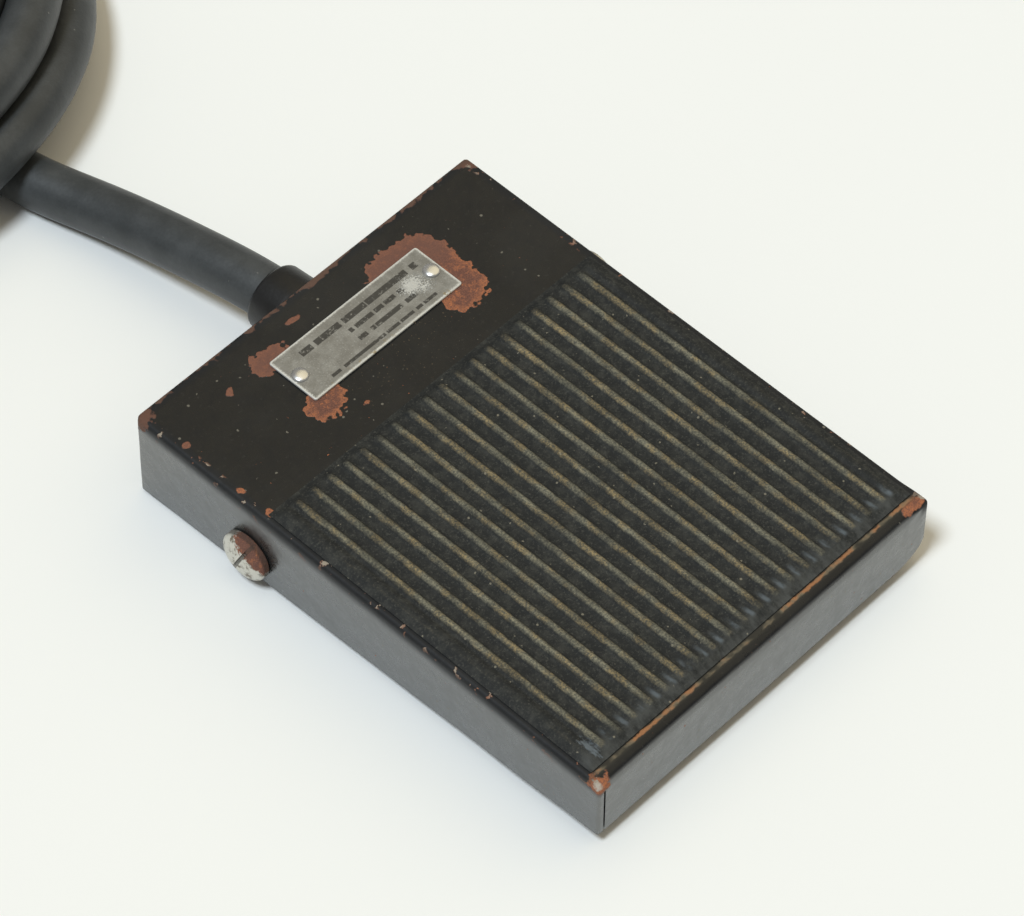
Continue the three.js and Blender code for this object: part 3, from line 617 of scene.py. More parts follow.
def settle(piece):
    """Applies a piece's modifiers."""
    graph = bpy.context.evaluated_depsgraph_get()
    graph.update()
    mesh = bpy.data.meshes.new_from_object(piece.evaluated_get(graph))
    piece.modifiers.clear()
    piece.data = mesh


def cutter(points, faces):
    mesh = bpy.data.meshes.new("cutter")
    mesh.from_pydata([tuple(p) for p in points], [], faces)
    return add("cutter", mesh)


def carve(piece, *tools):
    """Cuts the tools' shapes out of the piece and removes them."""
    for tool in tools:
        modify(piece, "BOOLEAN", operation="DIFFERENCE", solver="EXACT", object=tool)
    settle(piece)
    for tool in tools:
        bpy.data.objects.remove(tool)
    piece.data.shade_smooth()
    piece.data.set_sharp_from_angle(angle=radians(SHARP))


def ring_faces(rows, sides, closed=True):
    """Quads between rows of the same number of points."""
    faces = []
    for row in range(rows - 1):
        for k in range(sides if closed else sides - 1):
            a, b = row * sides + k, row * sides + (k + 1) % sides
            faces.append((a, b, b + sides, a + sides))
    return faces


def capped(rows, sides):
    """The faces of a tube, with its two end discs last."""
    discs = [tuple(reversed(range(sides))), tuple(range((rows - 1) * sides, rows * sides))]
    return ring_faces(rows, sides) + discs


def turned(profile, sides, place):
    """Points and faces of a turned solid; profile is [radius, along], place(across, up, along) a point."""
    points = []
    for radius, along in profile:
        for k in range(sides):
            turn = 2 * pi * k / sides
            points.append(place(radius * cos(turn), radius * sin(turn), along))
    return points, capped(len(profile), sides)


def bored(profile, sides, place):
    """A turned ring: the profile's last point joins its first through the bore."""
    points, faces = turned(profile, sides, place)
    last = (len(profile) - 1) * sides
    faces = faces[:-2] + [(k, (k + 1) % sides, last + (k + 1) % sides, last + k) for k in range(sides)]
    return points, faces


def arc(center, radius, start, end, steps):
    """Profile points along an arc, angles in degrees."""
    turns = [radians(start + (end - start) * k / steps) for k in range(steps + 1)]
    return [[center[0] + radius * cos(t), center[1] + radius * sin(t)] for t in turns]


def prism(first, second):
    """Points and faces of the solid between two outlines with the same number of points."""
    count = len(first)
    faces = [tuple(range(count)), tuple(reversed(range(count, 2 * count)))]
    faces += [(k, k + count, (k + 1) % count + count, (k + 1) % count) for k in range(count)]
    return first + second, faces


def box_points(x0, x1, y0, y1, z0, z1, place):
    points = [place(x, y, z) for z in (z0, z1) for y in (y0, y1) for x in (x0, x1)]
    faces = [(0, 2, 3, 1), (4, 5, 7, 6), (0, 1, 5, 4), (2, 6, 7, 3), (0, 4, 6, 2), (1, 3, 7, 5)]
    return points, faces


def outward(piece):
    """Makes every face point out."""
    shape = bmesh.new()
    shape.from_mesh(piece.data)
    bmesh.ops.recalc_face_normals(shape, faces=shape.faces)
    shape.to_mesh(piece.data)
    shape.free()
    return piece


def solid(*details, **options):
    """A closed piece, made as make() does, with every face pointing out."""
    return outward(make(*details, **options))


def lathe(name, profile, sides, place, *details, **options):
    """A closed piece turned from a profile."""
    return solid(name, *turned(profile, sides, place), *details, **options)


# ---------------------------------------------------------------- cord
# The lead, from the bushing down to the floor; the coil's turns follow by formula.
LEAD = ((0, BUSHING_END, CORD_Z), (-0.15, 68, 10.95), (-1.0, 74, 10.6), (-1.8, 80.5, 9.9), (-2.3, 87, 8.8),
        (-3.0, 94, 7.6), (-3.9, 101, 6.5), (-5.2, 107.8, 5.6), (-7.4, 116.5, 5.1))
LEAD_HEADING = radians(105)
TURN_R = 41.2
TURNS_END = 1650.0  # degrees the coil turns through
COIL_STEPS = 200
TAIL_STRAIGHT = 36.0
TAIL_R = 43.0
TAIL_LIFT = 104.0  # over this last length the cord rises to the plug
PLUG_LEAD = (48.0, 14.6)  # a distance before its end, and its height there


def flat_arc(point, heading, radius, angle, steps):
    """Points along an arc on the floor that starts at point; a positive angle turns left."""
    reach = math.copysign(radius, angle)
    x, y = point[0] - reach * sin(heading), point[1] + reach * cos(heading)
    turns = [heading + angle * k / steps for k in range(1, steps + 1)]
    return [(x + reach * sin(turn), y - reach * cos(turn)) for turn in turns]


# Where each turn starts and ends its move to the next one's radius, in degrees since the first turn began.
TURN_MOVES = ((160, 360), (520, 720), (880, 1080), (1290, 1440))


def coil_radius(angle):
    """Distance from the coil's middle; angle in degrees since the first turn began."""
    radius = COIL_RADII[0]
    for k, (begin, end) in enumerate(TURN_MOVES):
        radius += (COIL_RADII[k + 1] - COIL_RADII[k]) * ease(begin, end, angle)
    return radius


def swing_into_coil(start):
    """An S-bend to the right that ends heading straight back, where the half turn into the coil begins."""
    target = COIL[0] - COIL_RADII[0] + 2 * TURN_R
    low, high = 0.0, 1.2
    for _ in range(50):
        bend = (low + high) / 2
        first = flat_arc(start, LEAD_HEADING, TURN_R, -bend, 8)
        heading = LEAD_HEADING - bend
        second = flat_arc(first[-1], heading, TURN_R, pi / 2 - heading, 8)
        if second[-1][0] < target:
            low = bend
        else:
            high = bend
    return first + second


def cord_plan():
    """The whole route seen from above."""
    plan = [(x, y) for x, y, _ in LEAD]
    plan += swing_into_coil(plan[-1])
    x, y = plan[-1]
    plan += [(x, y + (COIL[1] - y) * k / 3) for k in (1, 2)]
    middle = COIL[0] - COIL_RADII[0] + TURN_R
    plan += [(middle + TURN_R * cos(pi * k / 18), COIL[1] + TURN_R * sin(pi * k / 18))
             for k in range(18)]
    for k in range(COIL_STEPS + 1):
        angle = TURNS_END * k / COIL_STEPS
        radius = coil_radius(angle)
        turn = radians(180 + angle)
        plan.append((COIL[0] + radius * cos(turn), COIL[1] + radius * sin(turn)))
    heading = radians(180 + TURNS_END + 90)
    x, y = plan[-1]
    plan += [(x + s * cos(heading), y + s * sin(heading)) for s in (12, 24, TAIL_STRAIGHT)]
    plan += flat_arc(plan[-1], heading, TAIL_R, radians(60), 8)
    plan.append((PLUG[0] + 1.0, PLUG[1]))
    return plan


def curve(a, b, c, d, t):
    """A smooth curve from b at t = 0 to c at t = 1, with a before and d after."""
    return 0.5 * (2 * b + (c - a) * t + (2 * a - 5 * b + 4 * c - d) * t * t
                  + (3 * b - a - 3 * c + d) * t ** 3)


def even_steps(points, step):
    """The same line through all the points, smooth, at even distances."""
    fine = []
    for i in range(len(points) - 1):
        four = points[max(i - 1, 0)], points[i], points[i + 1], points[min(i + 2, len(points) - 1)]
        fine += [tuple(curve(*values, k / 8) for values in zip(*four)) for k in range(8)]
    fine.append(tuple(points[-1]))
    lengths = [0.0]
    for a, b in zip(fine, fine[1:]):
        lengths.append(lengths[-1] + math.dist(a, b))
    count = max(2, round(lengths[-1] / step))
    even, j = [], 0
    for k in range(count + 1):
        want = lengths[-1] * k / count
        while j < len(fine) - 2 and lengths[j + 1] < want:
            j += 1
        share = (want - lengths[j]) / max(lengths[j + 1] - lengths[j], 1e-9)
        even.append(tuple(a + (b - a) * share for a, b in zip(fine[j], fine[j + 1])))
    return even


HUMP = 70.0  # how far before and after a crossing the cord starts to rise
LAYING_PASSES = 7
SMOOTHING_PASSES = 4
PRESS = 0.35  # how far smoothing may press the cord into the one below


def lay_down(plan, step, fixed_start):
    """Heights for a cord laid down from start to end: on the floor or on what already lies there."""
    radius = CORD_D / 2
    count = len(plan)
    skip = round(3.2 * CORD_D / step)
    reach = round(HUMP / step)
    raised = [0.5 * (1 + cos(pi * k / reach)) for k in range(reach + 1)]
    heights = [radius] * count
    near = []
    for i in range(count):
        x, y = plan[i]
        near.append([(j, math.sqrt(CORD_D ** 2 - gap)) for j in range(0, i - skip)
                     if (gap := (plan[j][0] - x) ** 2 + (plan[j][1] - y) ** 2) < (CORD_D * 0.995) ** 2])
    for _ in range(LAYING_PASSES):
        rest = [max([radius] + [heights[j] + rise for j, rise in near[i]]) for i in range(count)]
        spread = []
        for i in range(count):
            best = radius
            for j in range(max(0, i - reach), min(count, i + reach + 1)):
                if rest[j] > radius + 0.01:
                    best = max(best, radius + (rest[j] - radius) * raised[abs(i - j)])
            spread.append(max(best, rest[i]))
        smooth = spread
        for _ in range(SMOOTHING_PASSES):
            smooth = [sum(smooth[max(0, min(count - 1, i + k))] for k in range(-3, 4)) / 7
                      for i in range(count)]
        heights = [max(s, r - PRESS) for s, r in zip(smooth, rest)]
        for i, z in fixed_start:
            heights[i] = z
    return heights


def height_between(known, distance):
    """Smooth heights through (distance, height) pairs."""
    for (s0, z0), (s1, z1) in zip(known, known[1:]):
        if distance <= s1:
            t = (distance - s0) / (s1 - s0)
            return z0 + (z1 - z0) * t * t * (3 - 2 * t)
    return known[-1][1]


def cord_route(step=3.0):
    """Centre points of the cord, in millimetres, at even distances."""
    flat = even_steps(cord_plan(), step)
    marks = [0.0]
    for a, b in zip(flat, flat[1:]):
        marks.append(marks[-1] + math.dist(a, b))
    total = marks[-1]
    lead_line = [(0.0, LEAD[0][2])]
    for a, b in zip(LEAD, LEAD[1:]):
        lead_line.append((lead_line[-1][0] + math.dist(a[:2], b[:2]), b[2]))
    start = [(i, height_between(lead_line, s)) for i, s in enumerate(marks) if s < lead_line[-1][0]]
    heights = lay_down(flat, step, start)
    i_from = next(i for i, s in enumerate(marks) if s >= total - TAIL_LIFT)
    known = [(marks[i_from], heights[i_from]), (total - PLUG_LEAD[0], PLUG_LEAD[1]), (total, PLUG[2])]
    for i in range(i_from, len(marks)):
        heights[i] = height_between(known, marks[i])
    for _ in range(3):
        heights[i_from - 4:-1] = [(heights[i - 1] + 2 * heights[i] + heights[i + 1]) / 4
                                  for i in range(i_from - 4, len(heights) - 1)]
    route = [(x, y, z) for (x, y), z in zip(flat, heights)]
    for _ in range(6):
        route[1:-1] = [tuple((a + 2 * b + c) / 4 for a, b, c in zip(*three))
                       for three in zip(route, route[1:], route[2:])]
    return route


def sweep(centers, radius, sides):
    """Points and faces of a closed tube along centers, without twist."""
    points = []
    tangents = []
    for i in range(len(centers)):
        before, after = centers[max(i - 1, 0)], centers[min(i + 1, len(centers) - 1)]
        tangents.append((Vector(after) - Vector(before)).normalized())
    up = Vector((0, 0, 1))
    for center, tangent in zip(centers, tangents):
        up = (up - tangent * up.dot(tangent)).normalized()
        across = tangent.cross(up)
        for k in range(sides):
            turn = 2 * pi * k / sides
            offset = across * (radius * cos(turn)) + up * (radius * sin(turn))
            points.append(at(*(Vector(center) + offset)))
    return points, [tuple(reversed(face)) for face in capped(len(centers), sides)]


ROUTE = cord_route()
cord_points, cord_faces = sweep(ROUTE, CORD_D / 2, 20)
cord = solid("cord", cord_points, cord_faces, "cord", "base", "cord_rubber", "cord_run", "cord_coil",
             "cord_tail")


# ---------------------------------------------------------------- bushing, tie and plug
def along_y(x0, z0):
    return lambda a, b, y: at(x0 + a, y, z0 + b)


def bushing():
    bore = 5.2
    profile = [[bore, 43.0], [6.2, 44.0], [7.0, 46.0], [7.0, 51.4], [6.2, 51.4], [6.2, 53.2], [6.6, 53.2]]
    profile += arc((6.2, 54.0), 0.7, -90, 0, 3) + [[6.9, 58.0], [6.75, 60.5]]
    profile += arc((5.5, 62.5), 1.15, 8, 85, 5) + [[bore, BUSHING_END]]
    return solid("cord_bushing_fine", *bored(profile, 40, along_y(0, CORD_Z)), "bushing", "base",
                 "foot_rubber", "cord_bushing")


def coil_section(angle):
    """Where the cord crosses a half plane through the coil's middle: [radius, height] pairs."""
    found = []
    for a, b in zip(ROUTE, ROUTE[1:]):
        turns = [math.atan2(p[1] - COIL[1], p[0] - COIL[0]) - angle for p in (a, b)]
        turns = [(t + pi) % (2 * pi) - pi for t in turns]
        if turns[0] * turns[1] <= 0 and abs(turns[0]) < 1:
            found.append((math.hypot(a[0] - COIL[0], a[1] - COIL[1]), a[2]))
    return found


def hull(points):
    """The convex outline of points in a plane, counter-clockwise."""
    points = sorted(points)
    half = []
    for pass_points in (points, points[::-1]):
        line = []
        for p in pass_points:
            while len(line) > 1 and ((line[-1][0] - line[-2][0]) * (p[1] - line[-2][1])
                                     - (line[-1][1] - line[-2][1]) * (p[0] - line[-2][0])) <= 0:
                line.pop()
            line.append(p)
        half += line[:-1]
    return half


TIE_INSIDE = CORD_D / 2 + 0.15  # the strap's inner face, from the middle of the cord
TIE_THICK = 1.1


def tie():
    """A strap pulled round the turns."""
    rings = []
    circle = [(cos(2 * pi * k / 40), sin(2 * pi * k / 40)) for k in range(40)]
    for reach in (TIE_INSIDE, TIE_INSIDE + TIE_THICK):
        cloud = [(r + reach * c, z + reach * s) for r, z in coil_section(TIE_ANGLE) for c, s in circle]
        outline = hull([(r, max(z, 0.1 if reach > TIE_INSIDE else 0.6)) for r, z in cloud])
        rings.append(even_steps(outline + [outline[0]], 1.2))
    count = min(len(rings[0]), len(rings[1])) - 1
    inner = [rings[0][round(k * (len(rings[0]) - 1) / count)] for k in range(count)]
    outer = [rings[1][round(k * (len(rings[1]) - 1) / count)] for k in range(count)]
    points = []
    # half the strap's width is a little less on the outside
    for ring, half in ((inner, 3.0), (outer, 2.8), (outer, -2.8), (inner, -3.0)):
        for r, z in ring:
            x = COIL[0] + r * cos(TIE_ANGLE) - half * sin(TIE_ANGLE)
            y = COIL[1] + r * sin(TIE_ANGLE) + half * cos(TIE_ANGLE)
            points.append(at(x, y, z))
    faces = ring_faces(4, count)
    faces += [(3 * count + k, 3 * count + (k + 1) % count, (k + 1) % count, k) for k in range(count)]
    return soften(solid("coil_strap", points, faces, "tie", "base", "tie_rubber", "coil_tie"), 0.25)


PLUG_LONG = 45.4
BLADE_LONG = 16.2
BLADE_APART = 12.7
BLADE_HALF = 0.75  # half a blade's thickness
PIN_LONG = 17.8
PIN_R = 2.4


def plug_parts():
    def place(a, b, along):
        return at(PLUG[0] - along, PLUG[1] + a, PLUG[2] + b)

    profile = [[0.0, 0.0], [5.3, 0.0], [6.2, 0.5]]
    for k in range(5):  # ribs of the strain relief
        s = 1.6 + 2.7 * k
        r = 6.3 + 0.14 * k
        profile += [[r, s], [r - 0.9, s + 0.25], [r - 0.9, s + 0.95], [r + 0.1, s + 1.2], [r + 0.15, s + 2.4]]
    profile += [[7.6, 16.2], [9.2, 19.2], [11.0, 23.0], [12.1, 27.5], [12.4, 32.0], [12.4, 33.4],
                [11.9, 33.8], [11.9, 34.6], [12.4, 35.0], [12.4, 43.6], [12.1, 44.7],
                [11.4, PLUG_LONG], [0.0, PLUG_LONG]]
    pieces = [lathe("plug_moulding", profile, 48, place, "plug", "base", "cord_rubber", "plug_body",
                    sharp=50)]
    face = PLUG[0] - PLUG_LONG
    for name, side in (("front", -1), ("back", 1)):
        y = PLUG[1] + side * BLADE_APART / 2
        outline = ((0.2, -0.4), (0.2, 5.9), (1.6 - BLADE_LONG, 5.9), (-BLADE_LONG, 4.6), (-BLADE_LONG, 0.9),
                   (1.6 - BLADE_LONG, -0.4))
        sides = [[at(face + x, y + offset, PLUG[2] + z) for x, z in outline]
                 for offset in (-BLADE_HALF, BLADE_HALF)]
        blade = solid(f"plug_blade_{name}_fine", *prism(*sides), "brass", "base", "brass",
                      f"plug_blade_{name}")
        hole = turned([[1.6, -2.0], [1.6, 2.0]], 24,
                      lambda a, b, s: at(face - 11.6 + a, y + s, PLUG[2] + 2.75 + b))
        carve(blade, cutter(*hole))
        pieces.append(soften(blade, 0.22))
    tip = face - PIN_LONG
    profile = [[0.0, face + 0.2], [PIN_R, face + 0.2], [PIN_R, tip + PIN_R]]
    profile += [[PIN_R * cos(radians(t)), tip + PIN_R - PIN_R * sin(radians(t))] for t in (20, 40, 60, 75)]
    profile += [[0.0, tip]]
    pieces.append(lathe("plug_pin_fine", profile, 24, lambda a, b, x: at(x, PLUG[1] + a, PLUG[2] - 7 + b),
                        "brass", "base", "brass", "plug_ground_pin"))
    return pieces


bushing_piece = bushing()
tie_piece = tie()
plug_pieces = plug_parts()
route_m = [tuple(at(*p)) for p in ROUTE]


# ---------------------------------------------------------------- treadle
def stitched(quads):
    """Points and faces of four-cornered patches, with equal corners shared."""
    index, points, faces = {}, [], []
    for quad in quads:
        face = []
        for point in quad:
            key = tuple(round(c, 4) for c in point)
            if key not in index:
                index[key] = len(points)
                points.append(point)
            face.append(index[key])
        faces.append(tuple(face))
    return points, faces


def spaced(start, end, step):
    count = max(1, round(abs(end - start) / step))
    return [start + (end - start) * k / count for k in range(count + 1)]


def bend(radius, steps):
    """Through a bend: [distance out from its start, drop]."""
    turns = [pi / 2 * k / steps for k in range(1, steps + 1)]
    return [(radius * sin(t), radius * (1 - cos(t))) for t in turns]


def side_columns():
    """Across the cover: [u, drop below the top]; a corner seam lies just past the last flat column."""
    start = COVER_HALF - SIDE_BEND
    half = [(COVER_HALF - SHEET, 0.0), (start, 0.0)]
    half += [(start + out, drop) for out, drop in bend(SIDE_BEND, 6)]
    seam = COVER_HALF - SHEET - 0.4
    flat = [(u, 0.0) for u in spaced(-seam, 34.0, 2.0) + spaced(34.7, seam, 0.7)]
    return [(-u, drop) for u, drop in reversed(half)] + flat + half


def end_rows():
    """Along the cover, front to rear: [v, drop]."""
    front, rear = COVER_FRONT + FRONT_BEND, COVER_REAR - REAR_BEND
    flat = [(v, 0.0) for v in spaced(front, front + 5.6, 0.7) + spaced(front + 7.0, rear, 2.0)]
    return ([(front - out, drop) for out, drop in reversed(bend(FRONT_BEND, 8))] + flat
            + [(rear + out, drop) for out, drop in bend(REAR_BEND, 6)])


WORN_LONG = 8.0  # the worn lower corner at the front right, along each wall and up it
WORN_HIGH = 4.9
CRISP_BEND = 0.4  # how tight the bends become above it


def wall_low(u, v):
    """Lower edge of the walls; at the front right its corner is worn round."""
    share = (v - COVER_FRONT) / (COVER_REAR - COVER_FRONT)
    low = FRONT_LOW + (REAR_LOW - FRONT_LOW) * share
    past = 1 - max(COVER_HALF - u, v - COVER_FRONT) / WORN_LONG
    if past > 0:
        low += WORN_HIGH * (1 - math.sqrt(1 - min(past, 1.0) ** 2))
    return low


REAR_LEFT_ROUND = 1.3  # the corners' radii, seen from above
REAR_RIGHT_ROUND = 0.6
FRONT_ROUND = 0.5


def worn_corner(u, v):
    """Rounds the cover's corners as seen from above, the rear left one most."""
    if v > 0:
        radius, to_end = (REAR_LEFT_ROUND if u < 0 else REAR_RIGHT_ROUND), COVER_REAR - v
    else:
        radius, to_end = FRONT_ROUND, v - COVER_FRONT
    a, b = radius - (COVER_HALF - abs(u)), radius - to_end
    if a <= 0 or b <= 0:
        return u, v
    scale = max(a, b) / math.hypot(a, b)
    u = math.copysign(COVER_HALF - radius + a * scale, u)
    return u, (COVER_REAR - radius + b * scale) if v > 0 else (COVER_FRONT + radius - b * scale)


def dented(u, v, w):
    """Moves a wall point in or out a little; the tread's top stays flat."""
    on_wall = ease(COVER_TOP - 1.5, COVER_TOP - 5.0, w) if w < COVER_TOP - 1.5 else 0.0
    push = on_wall * 0.22 * field.noise(Vector((u * 0.03, v * 0.055, w * 0.08)))
    if abs(u) > COVER_HALF - 0.4:
        u += math.copysign(push, u)
    elif v > COVER_REAR - 0.4 or v < COVER_FRONT + 0.4:
        v += math.copysign(push, v)
    return u, v, w


WALL_STEPS = 7
NOTCH_R = 7.5  # the rear wall's notch round the bushing


def cover():
    columns, rows = side_columns(), end_rows()
    quads = []

    def top(i, j):
        u, side_drop = columns[i]
        v, end_drop = rows[j]
        near = ease(COVER_HALF - 6.0, COVER_HALF - 1.0, u) * ease(COVER_FRONT + 7.0, COVER_FRONT + 2.0, v)
        tight = 1 - (1 - CRISP_BEND) * near
        if v < COVER_FRONT + FRONT_BEND + 0.01:
            v, end_drop = COVER_FRONT + (v - COVER_FRONT) * tight, end_drop * tight
        if u > COVER_HALF - SIDE_BEND - 0.01:
            u, side_drop = COVER_HALF - (COVER_HALF - u) * tight, side_drop * tight
        return u, v, COVER_TOP - side_drop - end_drop

    def down(point, k):
        u, v, w = point
        return u, v, w + (wall_low(u, v) - w) * k / WALL_STEPS

    last_i, last_j = len(columns) - 1, len(rows) - 1
    for j in range(last_j):
        quads += [(top(i, j), top(i + 1, j), top(i + 1, j + 1), top(i, j + 1)) for i in range(last_i)]
        for k in range(WALL_STEPS):
            a, b = top(last_i, j), top(last_i, j + 1)
            quads.append((down(a, k), down(a, k + 1), down(b, k + 1), down(b, k)))
            a, b = top(0, j), top(0, j + 1)
            quads.append((down(a, k), down(b, k), down(b, k + 1), down(a, k + 1)))
    for i in range(last_i):
        middle = abs(columns[i][0] + columns[i + 1][0]) / 2
        seam = COVER_HALF - 1.65 < middle < COVER_HALF - SHEET
        # the front right seam is filled with paint
        if not seam or columns[i][0] > 0:
            a, b = top(i, 0), top(i + 1, 0)
            quads += [(down(a, k), down(a, k + 1), down(b, k + 1), down(b, k)) for k in range(WALL_STEPS)]
        if not seam:
            a, b = top(i, last_j), top(i + 1, last_j)
            quads += [(down(a, k), down(b, k), down(b, k + 1), down(a, k + 1)) for k in range(WALL_STEPS)]
    points, faces = stitched(quads)
    placed = []
    for u, v, w in points:
        u, v = worn_corner(u, v)
        placed.append(on_tread(*dented(u, v, w)))
    piece = make("treadle_shell", placed, faces, "cover", "treadle", "black_enamel", "treadle_cover")
    modify(piece, "SOLIDIFY", thickness=SHEET * MM, offset=-1.0, use_even_offset=True)
    settle(piece)
    arch_w = CORD_Z - PIVOT[1] - COVER_REAR * sin(TILT)
    outline = arc((0, arch_w), NOTCH_R, 0, 180, 20) + [(-NOTCH_R, REAR_LOW - 2), (NOTCH_R, REAR_LOW - 2)]
    ends = [[on_tread(u, v, w) for u, w in outline] for v in (COVER_REAR - 3, COVER_REAR + 3)]
    notch = outward(cutter(*prism(*ends)))
    bores = []
    for side in (-1, 1):
        ring = turned([[BORE, side * (COVER_HALF - 3)], [BORE, side * (COVER_HALF + 2)]], 32,
                      lambda a, b, u: on_tread(u, a, b))
        bores.append(outward(cutter(*ring)))
    carve(piece, notch, *bores)
    soften(piece, 0.22, 2, 40.0)


def rib_height(offset):
    """Height over the mat's sheet at an offset from a rib's middle."""
    line = ((0.0, 0.56), (0.3, 0.54), (0.55, 0.44), (0.75, 0.24), (0.95, 0.08), (1.2, 0.0), (1.95, -0.04))
    offset = abs(offset)
    for (a, high), (b, low) in zip(line, line[1:]):
        if offset <= b:
            return high + (low - high) * (offset - a) / (b - a)
    return line[-1][1]


MAT_SHEET = 0.7  # the mat's thickness between its ribs
LAND = 0.34  # how far the plain strip at the front stands over that
MAT_EDGE = 0.30  # the same along the sides
CHANNEL_START = 2.3  # how far from the front edge the channels start


def mat():
    low = COVER_TOP + LIFT
    edge = RIB_PITCH * RIB_COUNT / 2
    columns = [-MAT_HALF, -MAT_HALF + 0.25, -MAT_HALF + 0.8, -edge - 0.7]
    for rib in range(RIB_COUNT):
        middle = (rib - (RIB_COUNT - 1) / 2) * RIB_PITCH
        columns += [middle + s for s in (-1.95, -1.55, -1.2, -0.95, -0.75, -0.55, -0.3, 0.0,
                                         0.3, 0.55, 0.75, 0.95, 1.2, 1.55)]
    columns += [edge, edge + 0.7, MAT_HALF - 0.8, MAT_HALF - 0.25, MAT_HALF]
    rows = [MAT_FRONT, MAT_FRONT + 0.25, MAT_FRONT + 0.6]
    rows += spaced(MAT_FRONT + 1.0, MAT_FRONT + 4.0, 0.3) + spaced(MAT_FRONT + 5.0, MAT_REAR - 3.0, 1.6)
    rows += spaced(MAT_REAR - 2.7, MAT_REAR - 0.3, 0.3) + [MAT_REAR - 0.1, MAT_REAR]
    points = []
    for v in rows:
        for u in columns:
            phase = (u + edge) % RIB_PITCH - RIB_PITCH / 2
            wander = 0.5 * field.noise(Vector((round(u / RIB_PITCH) * 1.7, v * 0.03, 3.0)))
            front_end = MAT_FRONT + CHANNEL_START + wander
            height = rib_height(phase) if abs(u) < edge else MAT_EDGE
            fade = ease(front_end - 1.1, front_end + 1.1, v)
            height = LAND + (height - LAND) * fade
            height *= ease(MAT_REAR, MAT_REAR - 2.6 + wander, v) if v > MAT_REAR - 4 else 1.0
            height += 0.05 * field.noise(Vector((u * 0.25, v * 0.12, 1.0)))
            rim = min(MAT_HALF - abs(u), v - MAT_FRONT, MAT_REAR - v)
            share = 0.12 + 0.88 * ease(0.0, 1.3 if rim == MAT_HALF - abs(u) else 2.4, rim)
            points.append(on_tread(u, v, COVER_TOP + 0.1 + (MAT_SHEET + height) * share))
    across = len(columns)
    faces = ring_faces(len(rows), across, closed=False)
    count = len(points)
    # the underside, joined to the top round its four edges
    points += [on_tread(u, v, low) for v in rows for u in columns]
    faces += [tuple(k + count for k in reversed(face)) for face in faces]
    border = list(range(across)) + [r * across + across - 1 for r in range(1, len(rows))]
    border += [(len(rows) - 1) * across + k for k in range(across - 2, -1, -1)]
    border += [r * across for r in range(len(rows) - 2, 0, -1)]
    faces += [(a, a + count, b + count, b) for a, b in zip(border, border[1:] + border[:1])]
    solid("ribbed_mat", points, faces, "mat", "treadle", "mat_rubber", "tread_mat", sharp=50)


def plate():
    low = COVER_TOP + LIFT
    long, wide, radius = PLATE_SIZE[0] / 2, PLATE_SIZE[1] / 2, 0.5
    outline = []
    for cx, cy, start in ((1, 1, 0), (-1, 1, 90), (-1, -1, 180), (1, -1, 270)):
        outline += arc((cx * (long - radius), cy * (wide - radius)), radius, start, start + 90, 6)
    sides = [[on_tread(PLATE_X + a, PLATE_V + b, w) for a, b in outline] for w in (low, low + 0.5)]
    soften(solid("rating_plate", *prism(*sides), "plate", "treadle", "plate_aluminium", "nameplate"), 0.13)


def drive_pin(side, word):
    seat = COVER_TOP + LIFT + 0.5
    profile = [[0.0, seat - 3.4], [0.9, seat - 3.4], [1.0, seat - 3.2], [1.0, seat], [1.5, seat],
               [1.6, seat + 0.08]]
    profile += [[1.6 * cos(radians(t)), seat + 0.1 + 0.6 * sin(radians(t))]
                for t in (8, 20, 34, 48, 62, 76)] + [[0.0, seat + 0.7]]
    middle = PLATE_X + side * PIN_SPACING / 2
    lathe(f"drive_pin_{word}", profile, 32, lambda a, b, w: on_tread(middle + a, PLATE_V + b, w),
          "pin", "treadle", "zinc_plated", f"nameplate_pin_{word}")


cover()
mat()
plate()
drive_pin(-1, "left")
drive_pin(1, "right")


# ---------------------------------------------------------------- pivot
def along_x(y0, z0):
    return lambda a, b, x: at(x, y0 + a, z0 + b)


def pivot_bolt():
    """Its domed head is on the left; the slot leans forward."""
    seat = -COVER_HALF - GAP
    crown = seat - 2.9
    profile = [[0.0, crown]]
    profile += [[5.0 * sin(radians(t)), crown + 1.75 * (1 - cos(radians(t)))]
                for t in (8, 16, 25, 34, 44, 54, 64, 74, 84)]
    profile += [[5.0, crown + 1.9], [5.0, seat - 0.15], [4.85, seat], [2.4, seat], [2.4, 46.7], [1.9, 47.25],
                [0.0, 47.25]]
    bolt = lathe("pivot_bolt_fine", profile, 64, along_x(*PIVOT), "bolt", "base", "zinc_plated", "pivot_bolt",
                 sharp=50)
    along = (-cos(SLOT_LEAN), sin(SLOT_LEAN))
    tool = box_points(crown - 1, crown + 0.8, -7, 7, -0.32, 0.32,
                      lambda x, s, t: at(x, PIVOT[0] + along[0] * s - along[1] * t,
                                         PIVOT[1] + along[1] * s + along[0] * t))
    carve(bolt, outward(cutter(*tool)))
    soften(bolt, 0.14, 2, 50.0)


NUT_ACROSS = 9.6  # flat to flat


